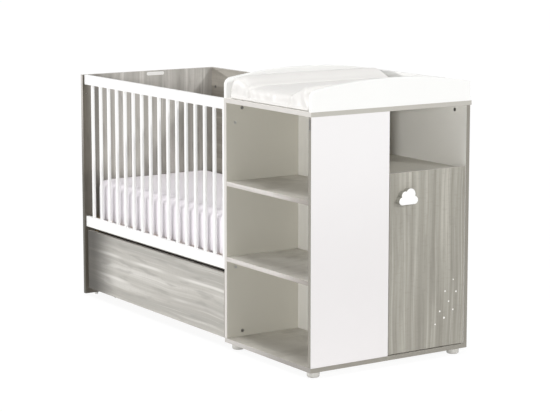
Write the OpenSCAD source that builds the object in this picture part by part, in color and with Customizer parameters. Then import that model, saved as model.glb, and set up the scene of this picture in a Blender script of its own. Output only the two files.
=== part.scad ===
// Crib with an attached changer chest.
// A slatted crib with a rolling drawer under it stands left of a chest that
// closes its right end. The chest has an open niche to the front, a cupboard
// to the right with a niche above its door, and a changer tray on its top.
// Millimetres, +X along the length towards the chest, +Y to the back, +Z up.
// The origin is on the floor, below the middle of the whole object.

/* [Boards] */
// Thickness of every faced board
board_t = 18; // [16:1:22]

/* [Crib] */
// Length of the sleeping space between the end panel and the chest
crib_inner_l = 1210; // [1000:10:1460]
// How far the crib's back lies in front of the chest's back
crib_step = 59; // [24:1:120]
// How far the top of the crib lies below the chest's upper face
crib_drop = 4; // [0:1:60]
// Height of the glides under the end panel
glide_h = 10; // [4:1:20]
// Diameter of the glides
glide_d = 16; // [10:1:16]
// Distance of the glides from the end panel's edges
glide_inset = 60; // [20:5:120]
// Length of the plain strip on the end panel's inner face
strip_l = 93; // [60:1:120]
// Height of that strip
strip_h = 16; // [10:1:24]
// Distance of that strip from the panel's upper edge
strip_drop = 5; // [2:1:30]

/* [Gate] */
// How far the gate lies behind the front edges
gate_recess = 8; // [2:1:20]
// Thickness of the gate's rails
gate_t = 18; // [18:1:24]
// Height of the top rail
top_rail_h = 44; // [30:1:60]
// Height of the bottom rail
bottom_rail_h = 48; // [30:1:70]
// Height of the bottom rail's underside above the floor
bottom_rail_z = 325; // [320:1:390]
// Number of slats
slat_count = 15; // [10:1:18]
// Width of a slat along the gate
slat_w = 16; // [10:1:24]
// Thickness of a slat
slat_t = 12; // [8:1:14]
// Distance from the end panel to the middle of the first slat
slat_first = 64; // [50:1:90]
// Distance from the middle of the last slat to the post
slat_last = 73; // [50:1:90]
// How deep a slat's ends sit in the rails
slat_seat = 10; // [6:1:16]
// Width of the post that closes the gate at the chest
post_w = 27; // [24:1:40]
// Depth of that post
post_d = 42; // [36:1:60]
// Distance of the bolts that hold the post from its back
post_bolt_in = 7; // [6:1:12]
// Distance of the lower bolt from the post's lower end
post_bolt_low = 11; // [8:1:40]
// Distance of the upper bolt from the post's upper end
post_bolt_high = 96; // [70:1:140]

/* [Bed base] */
// Height of the slatted base's upper face above the floor
base_top_z = 358; // [352:1:470]
// Number of base slats
base_slat_count = 12; // [8:1:16]
// Width of a base slat
base_slat_w = 60; // [40:1:70]
// Thickness of a base slat
base_slat_t = 14; // [8:1:18]
// Width of the long base rails
base_rail_w = 22; // [18:1:40]
// Height of the long base rails
base_rail_h = 40; // [30:1:50]
// Gap round the base
base_gap = 2; // [1:0.5:6]
// Width of the cleats that carry the base
cleat_w = 30; // [20:1:40]
// Height of the cleats
cleat_h = 30; // [24:1:36]
// How far the cleats' ends lie inside the base
cleat_inset = 4; // [0:1:12]

/* [Mattress] */
// Gap at each end of the mattress
mattress_end_gap = 5; // [2:1:20]
// Gap between the gate's post and the mattress
mattress_front_gap = 4; // [2:1:16]
// Gap between the mattress and the back panel
mattress_back_gap = 28; // [4:1:40]
// Thickness of the mattress at its edges
mattress_h = 180; // [80:1:190]
// How far the crown rises above the edges
mattress_crown = 5; // [0:1:15]

/* [Drawer] */
// Gap between the drawer front and the panels beside it
drawer_side_gap = 16; // [6:1:30]
// Gap between the drawer front and the gate above it
drawer_top_gap = 16; // [6:1:30]
// Gap between the drawer front and the floor
drawer_floor_gap = 39; // [38:1:60]
// Gap between the drawer box and the crib's back panel
drawer_back_gap = 76; // [20:1:160]
// Thickness of the drawer's sides and back
drawer_side_t = 15; // [12:1:18]
// Height of the drawer's sides and back
drawer_side_h = 188; // [120:1:190]
// Distance from the ends of the front to the drawer's sides
drawer_box_inset = 24; // [15:1:60]
// Thickness of the drawer bottom
drawer_bottom_t = 5; // [3:1:8]
// Depth of the groove that holds the drawer bottom
drawer_groove = 7; // [4:1:8]
// Width of the two bearers under the drawer bottom
bearer_w = 60; // [46:1:90]
// Height of the bearers
bearer_h = 18; // [15:1:20]
// Diameter of the castor wheels
wheel_d = 35; // [30:1:38]
// Width of the castor wheels
wheel_w = 18; // [12:1:24]
// Diameter of the castor axles
axle_d = 6; // [4:0.5:8]

/* [Chest] */
// Width of the chest
chest_w = 616; // [520:1:760]
// Depth of the chest
chest_d = 764; // [700:1:900]
// Height of the chest's upper face above the floor
chest_top_z = 1026; // [900:1:1230]
// How far the top board reaches past the back
top_overhang = 7; // [0:1:20]
// Height of the feet
foot_h = 26; // [20:1:60]
// Diameter of the feet
foot_d = 50; // [40:1:60]
// Distance of the feet's middles from the chest's edges
foot_inset = 40; // [32:1:80]
// Depth of the open niche at the front
niche_d = 349; // [300:1:420]
// Height of the lower niche shelf's upper face
shelf_low_z = 381; // [300:1:450]
// Height of the upper niche shelf's upper face
shelf_up_z = 690; // [600:1:760]
// Diameter of the shelf pins
pin_d = 5; // [4:0.5:6]
// Distance of the shelf pins from the shelves' edges
pin_in = 60; // [50:1:100]
// Width of the fitting sunk in the white panel's front edge
fitting_w = 12; // [8:1:12]
// Height of that fitting
fitting_h = 42; // [20:1:60]
// Distance of that fitting from the top board
fitting_drop = 9; // [4:1:40]

/* [Cupboard] */
// Height of the top of the door
door_top_z = 765; // [650:1:800]
// How far the cupboard's upper shelf lies below the top of the door
door_lap = 8; // [4:1:14]
// Gap round the door
door_gap = 4; // [2:0.5:6]
// Distance of the hinges from the door's ends
hinge_end = 90; // [70:1:140]
// Distance of the hinge cups' middles from the door's edge
cup_edge = 22.5; // [20:0.5:26]
// Diameter of the hinge cups
cup_d = 35; // [26:1:40]
// Depth of the hinge cups
cup_depth = 11.5; // [9:0.5:12.5]
// Thickness of the cloud knob
knob_t = 25; // [15:1:35]
// Width of the cloud knob
knob_w = 91; // [70:1:120]
// Distance of the knob's middle from the door's free edge
knob_edge = 74; // [50:1:120]
// Distance of the knob's middle below the top of the door
knob_drop = 93; // [50:1:200]

/* [Changer] */
// Height of the side rims at their middle
rim_h = 111; // [80:1:140]
// How much lower the side rims are at their ends
rim_drop = 33; // [10:1:50]
// Radius of the side rims' upper front corners
rim_corner_r = 30; // [10:1:40]
// How far the back rim lies below the side rims' back ends
rim_back_drop = 0; // [0:1:30]
// Distance of the rim screws from the side rims' ends
rim_screw_in = 150; // [120:1:220]
// Thickness of the mat in its middle
mat_t = 58; // [30:1:70]
// Height of the mat's side bolsters
bolster_h = 92; // [72:1:105]
// Width of the mat's side bolsters
bolster_w = 145; // [110:1:180]
// Gap round the mat
mat_gap = 4; // [1:0.5:10]

/* [Fasteners] */
// Distance of the chest's cam locks from the board ends
cam_in = 24; // [20:1:34]
// Distance of the crib's cam locks from the board ends
cam_in_long = 34; // [24:1:40]
// Distance of the cam locks from the boards' side edges
cam_edge = 75; // [50:1:110]
// Diameter of the cam locks
cam_d = 15; // [12:1:18]
// Depth of the cam locks
cam_depth = 12.5; // [12:0.5:13.5]
// Diameter of the bolts and dowels that run along the boards
bolt_d = 6; // [5:0.5:7]

/* [Hidden] */

$fn = 48;

// Clearances, each side
hole_gap = 0.1;      // round fasteners in their holes
seat_gap = 0.1;      // slat ends in their seats
run_gap = 0.05;      // axles in the castor wheels
soft_gap = 0.3;      // soft pieces on what carries them
cup_gap = 0.4;       // hinge arm in front of its cup

// Colours
c_wood = [0.72, 0.69, 0.66];
c_grey = [0.78, 0.76, 0.74];
c_inner = [0.62, 0.61, 0.58];
c_white = [0.96, 0.95, 0.94];
c_pine = [0.86, 0.76, 0.60];
c_board = [0.70, 0.62, 0.52];
c_steel = [0.75, 0.76, 0.78];
c_zinc = [0.45, 0.44, 0.42];
c_dark = [0.16, 0.16, 0.15];
c_sheet = [0.91, 0.89, 0.95];

// Places along the length, from the left face of the end panel
crib_x = board_t;
chest_x = crib_x + crib_inner_l;
chest_r = chest_x + chest_w;
niche_x = chest_x + board_t;
panel_x = chest_r - board_t;
mid_x = (chest_r + knob_t) / 2;

// Places in depth, from the front edges
gate_back = gate_recess + gate_t;
gate_mid = gate_recess + gate_t / 2;
post_back = gate_recess + post_d;
post_bolt_y = post_back - post_bolt_in;
crib_d = chest_d - crib_step;
back_y = crib_d - board_t;
divider_y = niche_d;
cupboard_y = divider_y + board_t;
chest_back_y = chest_d - board_t;
mid_y = (chest_d + top_overhang) / 2;

// Heights
chest_under_z = chest_top_z - board_t;
floor_z = foot_h + board_t;
crib_top_z = chest_top_z - crib_drop;
post_bolt_z = [bottom_rail_z + post_bolt_low, crib_top_z - post_bolt_high];
top_rail_z = crib_top_z - top_rail_h;
slat_z = bottom_rail_z + bottom_rail_h - slat_seat;
slat_l = top_rail_z - bottom_rail_z - bottom_rail_h + 2 * slat_seat;
rail_l = crib_inner_l - post_w;
slat_pitch = (rail_l - slat_first - slat_last) / (slat_count - 1);

// Gate fasteners
gate_bolt_l = 60;
bolt_head_d = 14;
bolt_head_h = 3;
nut_d = 10;
nut_l = 13;
nut_in = 40;         // barrel nut from the rail's end
dowel_d = 8;
dowel_l = 36;
dowel_side = 10;     // dowels above and below the rail's middle

// Bed base
base_rail_y = post_back + base_gap;
base_back_y = back_y - base_gap;
base_rail_back_y = base_back_y - base_rail_w;
base_rail_z = base_top_z - base_slat_t - base_rail_h;
base_l = crib_inner_l - 2 * base_gap;
base_slat_l = base_back_y - base_rail_y;
base_slat_pitch = (base_l - base_slat_w) / (base_slat_count - 1);
cleat_y = base_rail_y + cleat_inset;
cleat_l = base_slat_l - 2 * cleat_inset;
cleat_z = base_rail_z - cleat_h;
cleat_screw_l = cleat_w + 12;
cleat_screw_d = 5;
mattress_l = crib_inner_l - 2 * mattress_end_gap;
mattress_w = back_y - post_back - mattress_front_gap - mattress_back_gap;
mattress_y = post_back + mattress_front_gap + mattress_w / 2;

// Drawer
drawer_x = crib_x + drawer_side_gap;
drawer_l = crib_inner_l - 2 * drawer_side_gap;
drawer_front_h = bottom_rail_z - drawer_top_gap - drawer_floor_gap;
box_x = drawer_x + drawer_box_inset;
box_l = drawer_l - 2 * drawer_box_inset;
box_y = gate_recess + board_t;
drawer_d = back_y - drawer_back_gap - box_y;
castor_plate_t = 3;
castor_room = 31.5;  // axle to the castor's plate
bearer_z = wheel_d / 2 + castor_room + castor_plate_t;
bottom_z = bearer_z + bearer_h;
side_z = bottom_z - 8;
box_in_x = box_x + drawer_side_t;
box_in_l = box_l - 2 * drawer_side_t;
drawer_back_y = box_y + drawer_d - drawer_side_t;
castor_x = [box_in_x + 60, box_in_x + box_in_l - 60];
castor_y = [box_y + 70, box_y + drawer_d - 85];
cheek_t = 2.5;
fork_in = wheel_w + 1;
fork_l = 40;
drawer_cam_z = [side_z + 30, side_z + drawer_side_h - 30];
drawer_cam_depth = 11;
drawer_cam_in = 24;
drawer_screw_in = 35;

// Fasteners of the chest and of the crib's back panel
cam_seat = 11;       // bolt's depth in the board that it pulls on
back_cam_z = [glide_h + 110, (glide_h + crib_top_z) / 2, crib_top_z - 89];
post_bolt_l = 20;    // post bolt's depth in the post
foot_head_z = 8;
foot_head_h = 2.5;
foot_head_d = 9;
pin_l = 16;
pin_out = 8;
rim_screw_d = 4.5;

// Door
door_y = cupboard_y + door_gap;
door_w = chest_back_y - door_gap - door_y;
door_z = floor_z + door_gap;
door_h = door_top_z - door_z;
door_x = chest_r - board_t;
cup_y = door_y + door_w - cup_edge;
hinge_z = [door_z + hinge_end, door_z + door_h - hinge_end];
flange_t = 1;
flange_d = cup_d + 6;
plate_l = 32;
plate_t = 6;
plate_h = 46;
arm_l = 56;
arm_t = 8;
arm_h = 13;
knob_y = door_y + knob_edge;
knob_z = door_top_z - knob_drop;
knob_screw_d = 4;
knob_screw_y = [-16, 16];
hinge_screw_d = 4;
plate_x = door_x - flange_t - arm_l - 4;

// Changer
rim_l = chest_d;
rim_r = (rim_l * rim_l / 4 + rim_drop * rim_drop) / (2 * rim_drop);
rim_back_h = rim_h - rim_drop - rim_back_drop;
mat_w = chest_w - 2 * board_t - 2 * mat_gap;
mat_l = chest_back_y - mat_gap - 5;
mat_x = niche_x + mat_gap;
mat_y = 5;
rim_screw_l = 45;

// Moves what is drawn from the front left corner to the part's own frame
module place() {
    translate([-mid_x, -mid_y, 0]) children();
}

// A square-edged board: its low corner and its size
module board(corner, size) {
    translate(corner) cube(size);
}

// Round bars and holes along the three axes, from a start point
module bar_x(p, d, l) {
    translate(p) rotate([0, 90, 0]) cylinder(d = d, h = l);
}
module bar_y(p, d, l) {
    translate(p) rotate([-90, 0, 0]) cylinder(d = d, h = l);
}
module bar_z(p, d, l) {
    translate(p) cylinder(d = d, h = l);
}

// ---------------------------------------------------------------- cam joints
// Each chest joint is [point where the bolt crosses the cam, face, end]:
// face is the way the cam's flat side looks and end the way the bolt runs.
function chest_cams() = [
    for (up = [-1, 1])
        let (z = up > 0 ? chest_under_z - cam_in : floor_z + cam_in)
        each concat(
            [for (y = [cam_edge, chest_back_y - cam_edge])
                [[niche_x - board_t / 2, y, z], [1, 0, 0], [0, 0, up]]],
            [for (y = [cam_edge, divider_y - cam_edge])
                [[panel_x + board_t / 2, y, z], [-1, 0, 0], [0, 0, up]]],
            [for (x = [chest_x + cam_edge, chest_r - cam_edge])
                [[x, chest_back_y + board_t / 2, z], [0, -1, 0], [0, 0, up]]],
            [for (x = [niche_x + cam_edge, panel_x - cam_edge])
                [[x, divider_y + board_t / 2, z], [0, 1, 0], [0, 0, up]]])
];
function back_panel_cams() = [
    for (z = back_cam_z) each [
        [[crib_x + cam_in_long, back_y + board_t / 2, z], [0, -1, 0], [-1, 0, 0]],
        [[chest_x - cam_in_long, back_y + board_t / 2, z], [0, -1, 0], [1, 0, 0]]]
];

// Turns +Z to one of the six axis directions
module aim(v) {
    turn = v[2] > 0 ? [0, 0, 0] : v[2] < 0 ? [180, 0, 0]
        : v[0] != 0 ? [0, 90 * v[0], 0] : [-90 * v[1], 0, 0];
    rotate(turn) children();
}

// The space that a cam and its bolt take in the board that holds the cam
module cam_pocket(joint, in, depth = cam_depth, wall = board_t) {
    translate(joint[0]) {
        aim(joint[1]) translate([0, 0, wall / 2 - depth])
            cylinder(d = cam_d + 2 * hole_gap, h = depth + 1);
        aim(joint[2]) cylinder(d = bolt_d + 2 * hole_gap, h = in + 1);
    }
}

// A slotted cam disc, flush with the board's face
module cam_disc(joint, depth = cam_depth, wall = board_t) {
    slot_w = bolt_d + 0.6;
    translate(joint[0]) difference() {
        aim(joint[1]) translate([0, 0, wall / 2 - depth])
            cylinder(d = cam_d, h = depth);
        aim(joint[2]) translate([0, 0, -bolt_d / 2])
            cylinder(d = slot_w, h = cam_d);
        aim(joint[1]) translate([0, 0, wall / 2 - 1.2])
            cube([8, 1.6, 4], center = true);
    }
}

// The bolt from the cam's middle into the next board
module cam_bolt(joint, in) {
    translate(joint[0]) aim(joint[2]) cylinder(d = bolt_d, h = in + cam_seat);
}

// The blind hole for that bolt in the next board
module cam_bolt_hole(joint, in) {
    translate(joint[0]) aim(joint[2])
        cylinder(d = bolt_d + 2 * hole_gap, h = in + cam_seat + 0.2);
}

// ---------------------------------------------------------------------- crib
module end_panel() color(c_wood) place() difference() {
    board([0, 0, glide_h], [board_t, crib_d, crib_top_z - glide_h]);
    for (z = gate_bolt_z()) {
        bar_x([-1, gate_mid, z], bolt_d + 2 * hole_gap, board_t + 2);
        bar_x([-1, gate_mid, z], bolt_head_d + 2 * hole_gap, bolt_head_h + 1);
    }
    for (j = back_panel_cams()) if (j[2][0] < 0) cam_bolt_hole(j, cam_in_long);
    for (y = cleat_screw_y())
        bar_x([board_t - cleat_screw_l + cleat_w, y, cleat_z + cleat_h / 2],
            cleat_screw_d + 2 * hole_gap, cleat_screw_l);
    // the spare hole behind the gate's plane, below its top rail
    bar_x([board_t - spare_depth, gate_mid, top_rail_z - spare_drop], bolt_d, board_t);
}
spare_depth = 12;
spare_drop = 42;

function gate_bolt_z() = [bottom_rail_z + bottom_rail_h / 2, top_rail_z + top_rail_h / 2];
function cleat_screw_y() = [cleat_y + 60, cleat_y + cleat_l / 2, cleat_y + cleat_l - 60];

module end_panel_glides() color(c_white) place()
    for (y = [glide_inset, crib_d - glide_inset])
        bar_z([board_t / 2, y, 0], glide_d, glide_h);

// A thin strip with round ends on the inner face, under the upper edge
module end_panel_strip() color(c_white) place()
    translate([board_t, crib_d / 2 + 28, crib_top_z - strip_drop - strip_h / 2])
        rotate([90, 0, 90]) linear_extrude(1) {
            square([strip_l - strip_h, strip_h], center = true);
            for (s = [-1, 1]) translate([s * (strip_l - strip_h) / 2, 0])
                circle(d = strip_h);
        }

module back_panel() color(c_wood) place() difference() {
    board([crib_x, back_y, glide_h], [crib_inner_l, board_t, crib_top_z - glide_h]);
    for (j = back_panel_cams()) cam_pocket(j, cam_in_long);
}

// Seats for the slats' ends in a rail, from the given height upwards
module slat_seats(z) {
    for (i = [0 : slat_count - 1])
        board([crib_x + slat_first + i * slat_pitch - slat_w / 2 - seat_gap,
               gate_mid - slat_t / 2 - seat_gap, z],
              [slat_w + 2 * seat_gap, slat_t + 2 * seat_gap, slat_seat + 1]);
}

// Holes in a rail for its bolt, barrel nut and dowels, at its middle height
module rail_holes(z) {
    bar_x([crib_x - 1, gate_mid, z], bolt_d + 2 * hole_gap,
        gate_bolt_l - board_t + bolt_head_h + 2);
    bar_y([crib_x + nut_in, gate_back - nut_l, z], nut_d + 2 * hole_gap, nut_l + 1);
    for (s = [-1, 1])
        bar_x([crib_x + rail_l - dowel_l / 2, gate_mid, z + s * dowel_side],
            dowel_d + 2 * hole_gap, dowel_l);
}

module gate_rail(z, h) {
    board([crib_x, gate_recess, z], [rail_l, gate_t, h]);
}

module gate_top_rail() color(c_white) place() difference() {
    gate_rail(top_rail_z, top_rail_h);
    slat_seats(top_rail_z - 1);
    rail_holes(gate_bolt_z()[1]);
}

module gate_bottom_rail() color(c_white) place() difference() {
    gate_rail(bottom_rail_z, bottom_rail_h);
    slat_seats(slat_z);
    rail_holes(gate_bolt_z()[0]);
}

module gate_slats() color(c_white) place()
    for (i = [0 : slat_count - 1])
        board([crib_x + slat_first + i * slat_pitch - slat_w / 2,
               gate_mid - slat_t / 2, slat_z], [slat_w, slat_t, slat_l]);

module gate_post() color(c_white) place() difference() {
    board([chest_x - post_w, gate_recess, bottom_rail_z],
        [post_w, post_d, crib_top_z - bottom_rail_z]);
    for (z = gate_bolt_z(), s = [-1, 1])
        bar_x([chest_x - post_w - 1, gate_mid, z + s * dowel_side],
            dowel_d + 2 * hole_gap, dowel_l / 2 + 1);
    for (z = post_bolt_z)
        bar_x([chest_x - post_bolt_l, post_bolt_y, z],
            bolt_d + 2 * hole_gap, post_bolt_l + 1);
}

// A bolt with a flat head sunk in the outer face, from the head's side
module sunk_bolt(p, way, l) {
    translate(p) aim([way, 0, 0]) union() {
        cylinder(d = bolt_d, h = l);
        cylinder(d = bolt_head_d, h = bolt_head_h);
    }
}

module gate_bolts() color(c_steel) place()
    for (z = gate_bolt_z()) sunk_bolt([0, gate_mid, z], 1, gate_bolt_l);

module gate_barrel_nuts() color(c_steel) place()
    for (z = gate_bolt_z()) difference() {
        bar_y([crib_x + nut_in, gate_back - nut_l, z], nut_d, nut_l);
        bar_x([crib_x + nut_in - nut_d, gate_mid, z], bolt_d + 2 * hole_gap, 2 * nut_d);
    }

module gate_dowels() color(c_pine) place()
    for (z = gate_bolt_z(), s = [-1, 1])
        bar_x([crib_x + rail_l - dowel_l / 2, gate_mid, z + s * dowel_side],
            dowel_d, dowel_l);

module post_bolts() color(c_zinc) place()
    for (z = post_bolt_z)
        sunk_bolt([niche_x, post_bolt_y, z], -1, board_t + post_bolt_l);

// ------------------------------------------------------------------ bed base
module base_rail_front() color(c_pine) place()
    board([crib_x + base_gap, base_rail_y, base_rail_z],
        [base_l, base_rail_w, base_rail_h]);

module base_rail_back() color(c_pine) place()
    board([crib_x + base_gap, base_rail_back_y, base_rail_z],
        [base_l, base_rail_w, base_rail_h]);

module base_slats() color(c_pine) place()
    for (i = [0 : base_slat_count - 1])
        board([crib_x + base_gap + i * base_slat_pitch, base_rail_y,
               base_top_z - base_slat_t], [base_slat_w, base_slat_l, base_slat_t]);

module base_cleats() color(c_pine) place() difference() {
    for (x = [crib_x, chest_x - cleat_w])
        board([x, cleat_y, cleat_z], [cleat_w, cleat_l, cleat_h]);
    for (y = cleat_screw_y(), x = [crib_x, chest_x - cleat_w])
        bar_x([x - 1, y, cleat_z + cleat_h / 2],
            cleat_screw_d + 2 * hole_gap, cleat_w + 2);
}

module cleat_screws() color(c_steel) place()
    for (y = cleat_screw_y(), x = [crib_x + cleat_w - cleat_screw_l, chest_x - cleat_w])
        bar_x([x, y, cleat_z + cleat_h / 2], cleat_screw_d, cleat_screw_l);

// ------------------------------------------------------------------ mattress
// Rings of a rounded rectangle: half sizes a and b, corner radius r
function round_rect(a, b, r, n = 6) = [
    for (q = [0 : 3], i = [0 : n])
        let (sx = q == 0 || q == 3 ? 1 : -1, sy = q < 2 ? 1 : -1, t = 90 * (q + i / n))
        [sx * (a - r) + r * cos(t), sy * (b - r) + r * sin(t)]
];

// Each level of a padded block is [inset, height]: the sides are drawn in
// between the welts, and the upper face rises to its crown
function block_levels(h, crown, inset, welt) = concat(
    [for (i = [0 : 4]) let (t = 90 * i / 4)
        [inset + welt * (1 - sin(t)), welt * (1 - cos(t))]],
    [for (i = [1 : 5]) let (t = i / 6)
        [inset + 4 * sin(180 * t), welt + t * (h - 2 * welt)]],
    [for (i = [0 : 4]) let (t = 90 * i / 4)
        [inset + welt * (1 - cos(t)), h - welt + welt * sin(t)]],
    [for (i = [1 : 6]) let (t = i / 7)
        [inset + welt + t * 200, h + crown * sin(90 * t)]]);

module padded_block(l, w, h, crown, corner) {
    levels = block_levels(h, crown, 0, 12);
    rings = [for (s = levels) let (o = round_rect(l / 2 - s[0], w / 2 - s[0],
        max(corner - s[0] * 0.4, 12))) [for (p = o) [p[0], p[1], s[1]]]];
    n = len(rings[0]);
    m = len(rings);
    points = concat([for (r = rings) each r], [[0, 0, 0], [0, 0, h + crown]]);
    faces = concat(
        [for (k = [0 : m - 2], i = [0 : n - 1])
            let (a = k * n + i, b = k * n + (i + 1) % n) each [[a, b + n, b], [a, a + n, b + n]]],
        [for (i = [0 : n - 1]) [i, (i + 1) % n, m * n]],
        [for (i = [0 : n - 1]) [(m - 1) * n + i, m * n + 1, (m - 1) * n + (i + 1) % n]]);
    polyhedron(points, faces, convexity = 4);
}

module mattress() color(c_sheet) place()
    translate([crib_x + crib_inner_l / 2, mattress_y, base_top_z + soft_gap])
        padded_block(mattress_l, mattress_w, mattress_h, mattress_crown, 45);

// -------------------------------------------------------------------- drawer
// Each drawer joint is a cam in a side board, with its bolt in the front
function drawer_joints() = [
    for (z = drawer_cam_z) each [
        [[box_x + drawer_side_t / 2, box_y + drawer_cam_in, z], [1, 0, 0], [0, -1, 0]],
        [[box_x + box_l - drawer_side_t / 2, box_y + drawer_cam_in, z], [-1, 0, 0], [0, -1, 0]]]
];
function drawer_screw_z() = [side_z + 25, side_z + drawer_side_h - 25];

module drawer_front() color(c_wood) place() difference() {
    board([drawer_x, gate_recess, drawer_floor_gap], [drawer_l, board_t, drawer_front_h]);
    for (j = drawer_joints()) cam_bolt_hole(j, drawer_cam_in);
}

// A side with its groove for the bottom; in_x is its inner face
module drawer_side(x, groove_x) difference() {
    board([x, box_y, side_z], [drawer_side_t, drawer_d, drawer_side_h]);
    board([groove_x, box_y - 1, bottom_z],
        [drawer_groove + 0.5, drawer_back_y - box_y + 1, drawer_bottom_t + 0.2]);
    for (j = drawer_joints())
        cam_pocket(j, drawer_cam_in, drawer_cam_depth, drawer_side_t);
    for (z = drawer_screw_z())
        bar_x([x - 1, drawer_back_y + drawer_side_t / 2, z],
            cleat_screw_d + 2 * hole_gap, drawer_side_t + 2);
}

module drawer_side_left() color(c_inner) place()
    drawer_side(box_x, box_in_x - drawer_groove - 0.5);

module drawer_side_right() color(c_inner) place()
    drawer_side(box_in_x + box_in_l, box_in_x + box_in_l);

module drawer_back() color(c_inner) place() difference() {
    board([box_in_x, drawer_back_y, side_z], [box_in_l, drawer_side_t, drawer_side_h]);
    for (z = drawer_screw_z(), x = [box_in_x - 1, box_in_x + box_in_l - drawer_screw_in])
        bar_x([x, drawer_back_y + drawer_side_t / 2, z],
            cleat_screw_d + 2 * hole_gap, drawer_screw_in + 1);
}

module drawer_bottom() color(c_board) place()
    board([box_in_x - drawer_groove, box_y, bottom_z],
        [box_in_l + 2 * drawer_groove, drawer_back_y - box_y, drawer_bottom_t]);

module drawer_bearers() color(c_pine) place()
    for (y = castor_y)
        board([box_in_x, y - bearer_w / 2, bearer_z], [box_in_l, bearer_w, bearer_h]);

module drawer_cams() color(c_zinc) place()
    for (j = drawer_joints()) cam_disc(j, drawer_cam_depth, drawer_side_t);

module drawer_cam_bolts() color(c_steel) place()
    for (j = drawer_joints()) cam_bolt(j, drawer_cam_in);

module drawer_screws() color(c_steel) place()
    for (z = drawer_screw_z(), s = [[box_x, 1], [box_x + box_l, -1]])
        translate([s[0], drawer_back_y + drawer_side_t / 2, z]) aim([s[1], 0, 0])
            cylinder(d = cleat_screw_d, h = drawer_side_t + drawer_screw_in);

// A fork: a plate under the bearer and two cheeks that hold the axle
module castor_fork(x, y) {
    difference() {
        union() {
            board([x - fork_l / 2, y - fork_l / 2, bearer_z - castor_plate_t],
                [fork_l, fork_l, castor_plate_t]);
            for (s = [-1, 1]) {
                cheek_x = x + s * (fork_in / 2 + cheek_t / 2) - cheek_t / 2;
                board([cheek_x, y - wheel_d / 2 + 5, wheel_d / 2],
                    [cheek_t, wheel_d - 10, bearer_z - castor_plate_t - wheel_d / 2]);
                bar_x([cheek_x, y, wheel_d / 2], wheel_d - 10, cheek_t);
            }
        }
        bar_x([x - fork_in, y, wheel_d / 2], axle_d + 2 * run_gap, 2 * fork_in);
    }
}

module castor_forks() color(c_dark) place()
    for (x = castor_x, y = castor_y) castor_fork(x, y);

module castor_axles() color(c_steel) place()
    for (x = castor_x, y = castor_y)
        bar_x([x - fork_in / 2 - cheek_t - 1, y, wheel_d / 2], axle_d,
            fork_in + 2 * cheek_t + 2);

// A wheel with a broad tread and a sunk hub, turned about its axle
module wheel(x, y) translate([x, y, wheel_d / 2]) rotate([0, 90, 0]) difference() {
    cylinder(d = wheel_d, h = wheel_w, center = true);
    for (s = [-1, 1]) translate([0, 0, s * wheel_w / 2]) difference() {
        cylinder(d = wheel_d - 9, h = 6, center = true);
        cylinder(d = axle_d + 7, h = 7, center = true);
    }
    cylinder(d = axle_d + 2 * run_gap, h = wheel_w + 2, center = true);
}

module wheel_front_left() color(c_dark) place() wheel(castor_x[0], castor_y[0]);
module wheel_front_right() color(c_dark) place() wheel(castor_x[1], castor_y[0]);
module wheel_rear_left() color(c_dark) place() wheel(castor_x[0], castor_y[1]);
module wheel_rear_right() color(c_dark) place() wheel(castor_x[1], castor_y[1]);

// --------------------------------------------------------------------- chest
// The rims' screws rise through the top board at these points
function rim_screw_places() = concat(
    [for (x = [chest_x + board_t / 2, panel_x + board_t / 2],
          y = [rim_screw_in, rim_l / 2, rim_l - rim_screw_in]) [x, y]],
    [for (x = [niche_x + rim_screw_in, panel_x - rim_screw_in])
        [x, chest_back_y + board_t / 2]]);

module chest_top() color(c_grey) place() difference() {
    board([chest_x, 0, chest_under_z], [chest_w, chest_d + top_overhang, board_t]);
    for (j = chest_cams()) if (j[2][2] > 0) cam_bolt_hole(j, cam_in);
    for (p = rim_screw_places())
        bar_z([p[0], p[1], chest_under_z - 1], rim_screw_d + 2 * hole_gap, board_t + 2);
}

module chest_bottom() color(c_grey) place() difference() {
    board([chest_x, 0, foot_h], [chest_w, chest_d, board_t]);
    for (j = chest_cams()) if (j[2][2] < 0) cam_bolt_hole(j, cam_in);
    for (p = foot_places())
        bar_z([p[0], p[1], foot_h - 1], rim_screw_d + 2 * hole_gap, 13);
}

function foot_places() = [
    for (x = [chest_x + foot_inset, chest_r - foot_inset],
         y = [foot_inset, chest_d - foot_inset]) [x, y]
];

// Holes for the shelf pins that go into a board along X, at one shelf
module pin_holes(x, ys, z) {
    for (y = ys) bar_x([x, y, z - board_t - pin_d / 2],
        pin_d + 2 * hole_gap, pin_l - pin_out + 1);
}
niche_pin_y = [pin_in, niche_d - pin_in];
cupboard_pin_y = [cupboard_y + pin_in, chest_back_y - pin_in];
cupboard_pin_x = door_x - 90;
cupboard_shelf_z = door_top_z - door_lap;
cupboard_pin_z = cupboard_shelf_z - board_t - pin_d / 2;

module side_pin_holes() {
    in = niche_x - pin_l + pin_out;
    pin_holes(in, niche_pin_y, shelf_low_z);
    pin_holes(in, niche_pin_y, shelf_up_z);
    pin_holes(in, cupboard_pin_y, cupboard_shelf_z);
}

module chest_side() color(c_inner) place() difference() {
    board([chest_x, 0, floor_z], [board_t, chest_back_y, chest_under_z - floor_z]);
    for (j = chest_cams()) if (j[1][0] > 0) cam_pocket(j, cam_in);
    for (j = back_panel_cams()) if (j[2][0] > 0) cam_bolt_hole(j, cam_in_long);
    for (z = post_bolt_z) {
        bar_x([chest_x - 1, post_bolt_y, z], bolt_d + 2 * hole_gap, board_t + 2);
        bar_x([niche_x - bolt_head_h, post_bolt_y, z],
            bolt_head_d + 2 * hole_gap, bolt_head_h + 1);
    }
    for (y = cleat_screw_y())
        bar_x([chest_x - 1, y, cleat_z + cleat_h / 2],
            cleat_screw_d + 2 * hole_gap, cleat_screw_l - cleat_w + 1);
    side_pin_holes();
}

fitting_d = 6;
fitting_x = panel_x + (board_t - fitting_w) / 2;
fitting_z = chest_under_z - fitting_drop - fitting_h;

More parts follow.
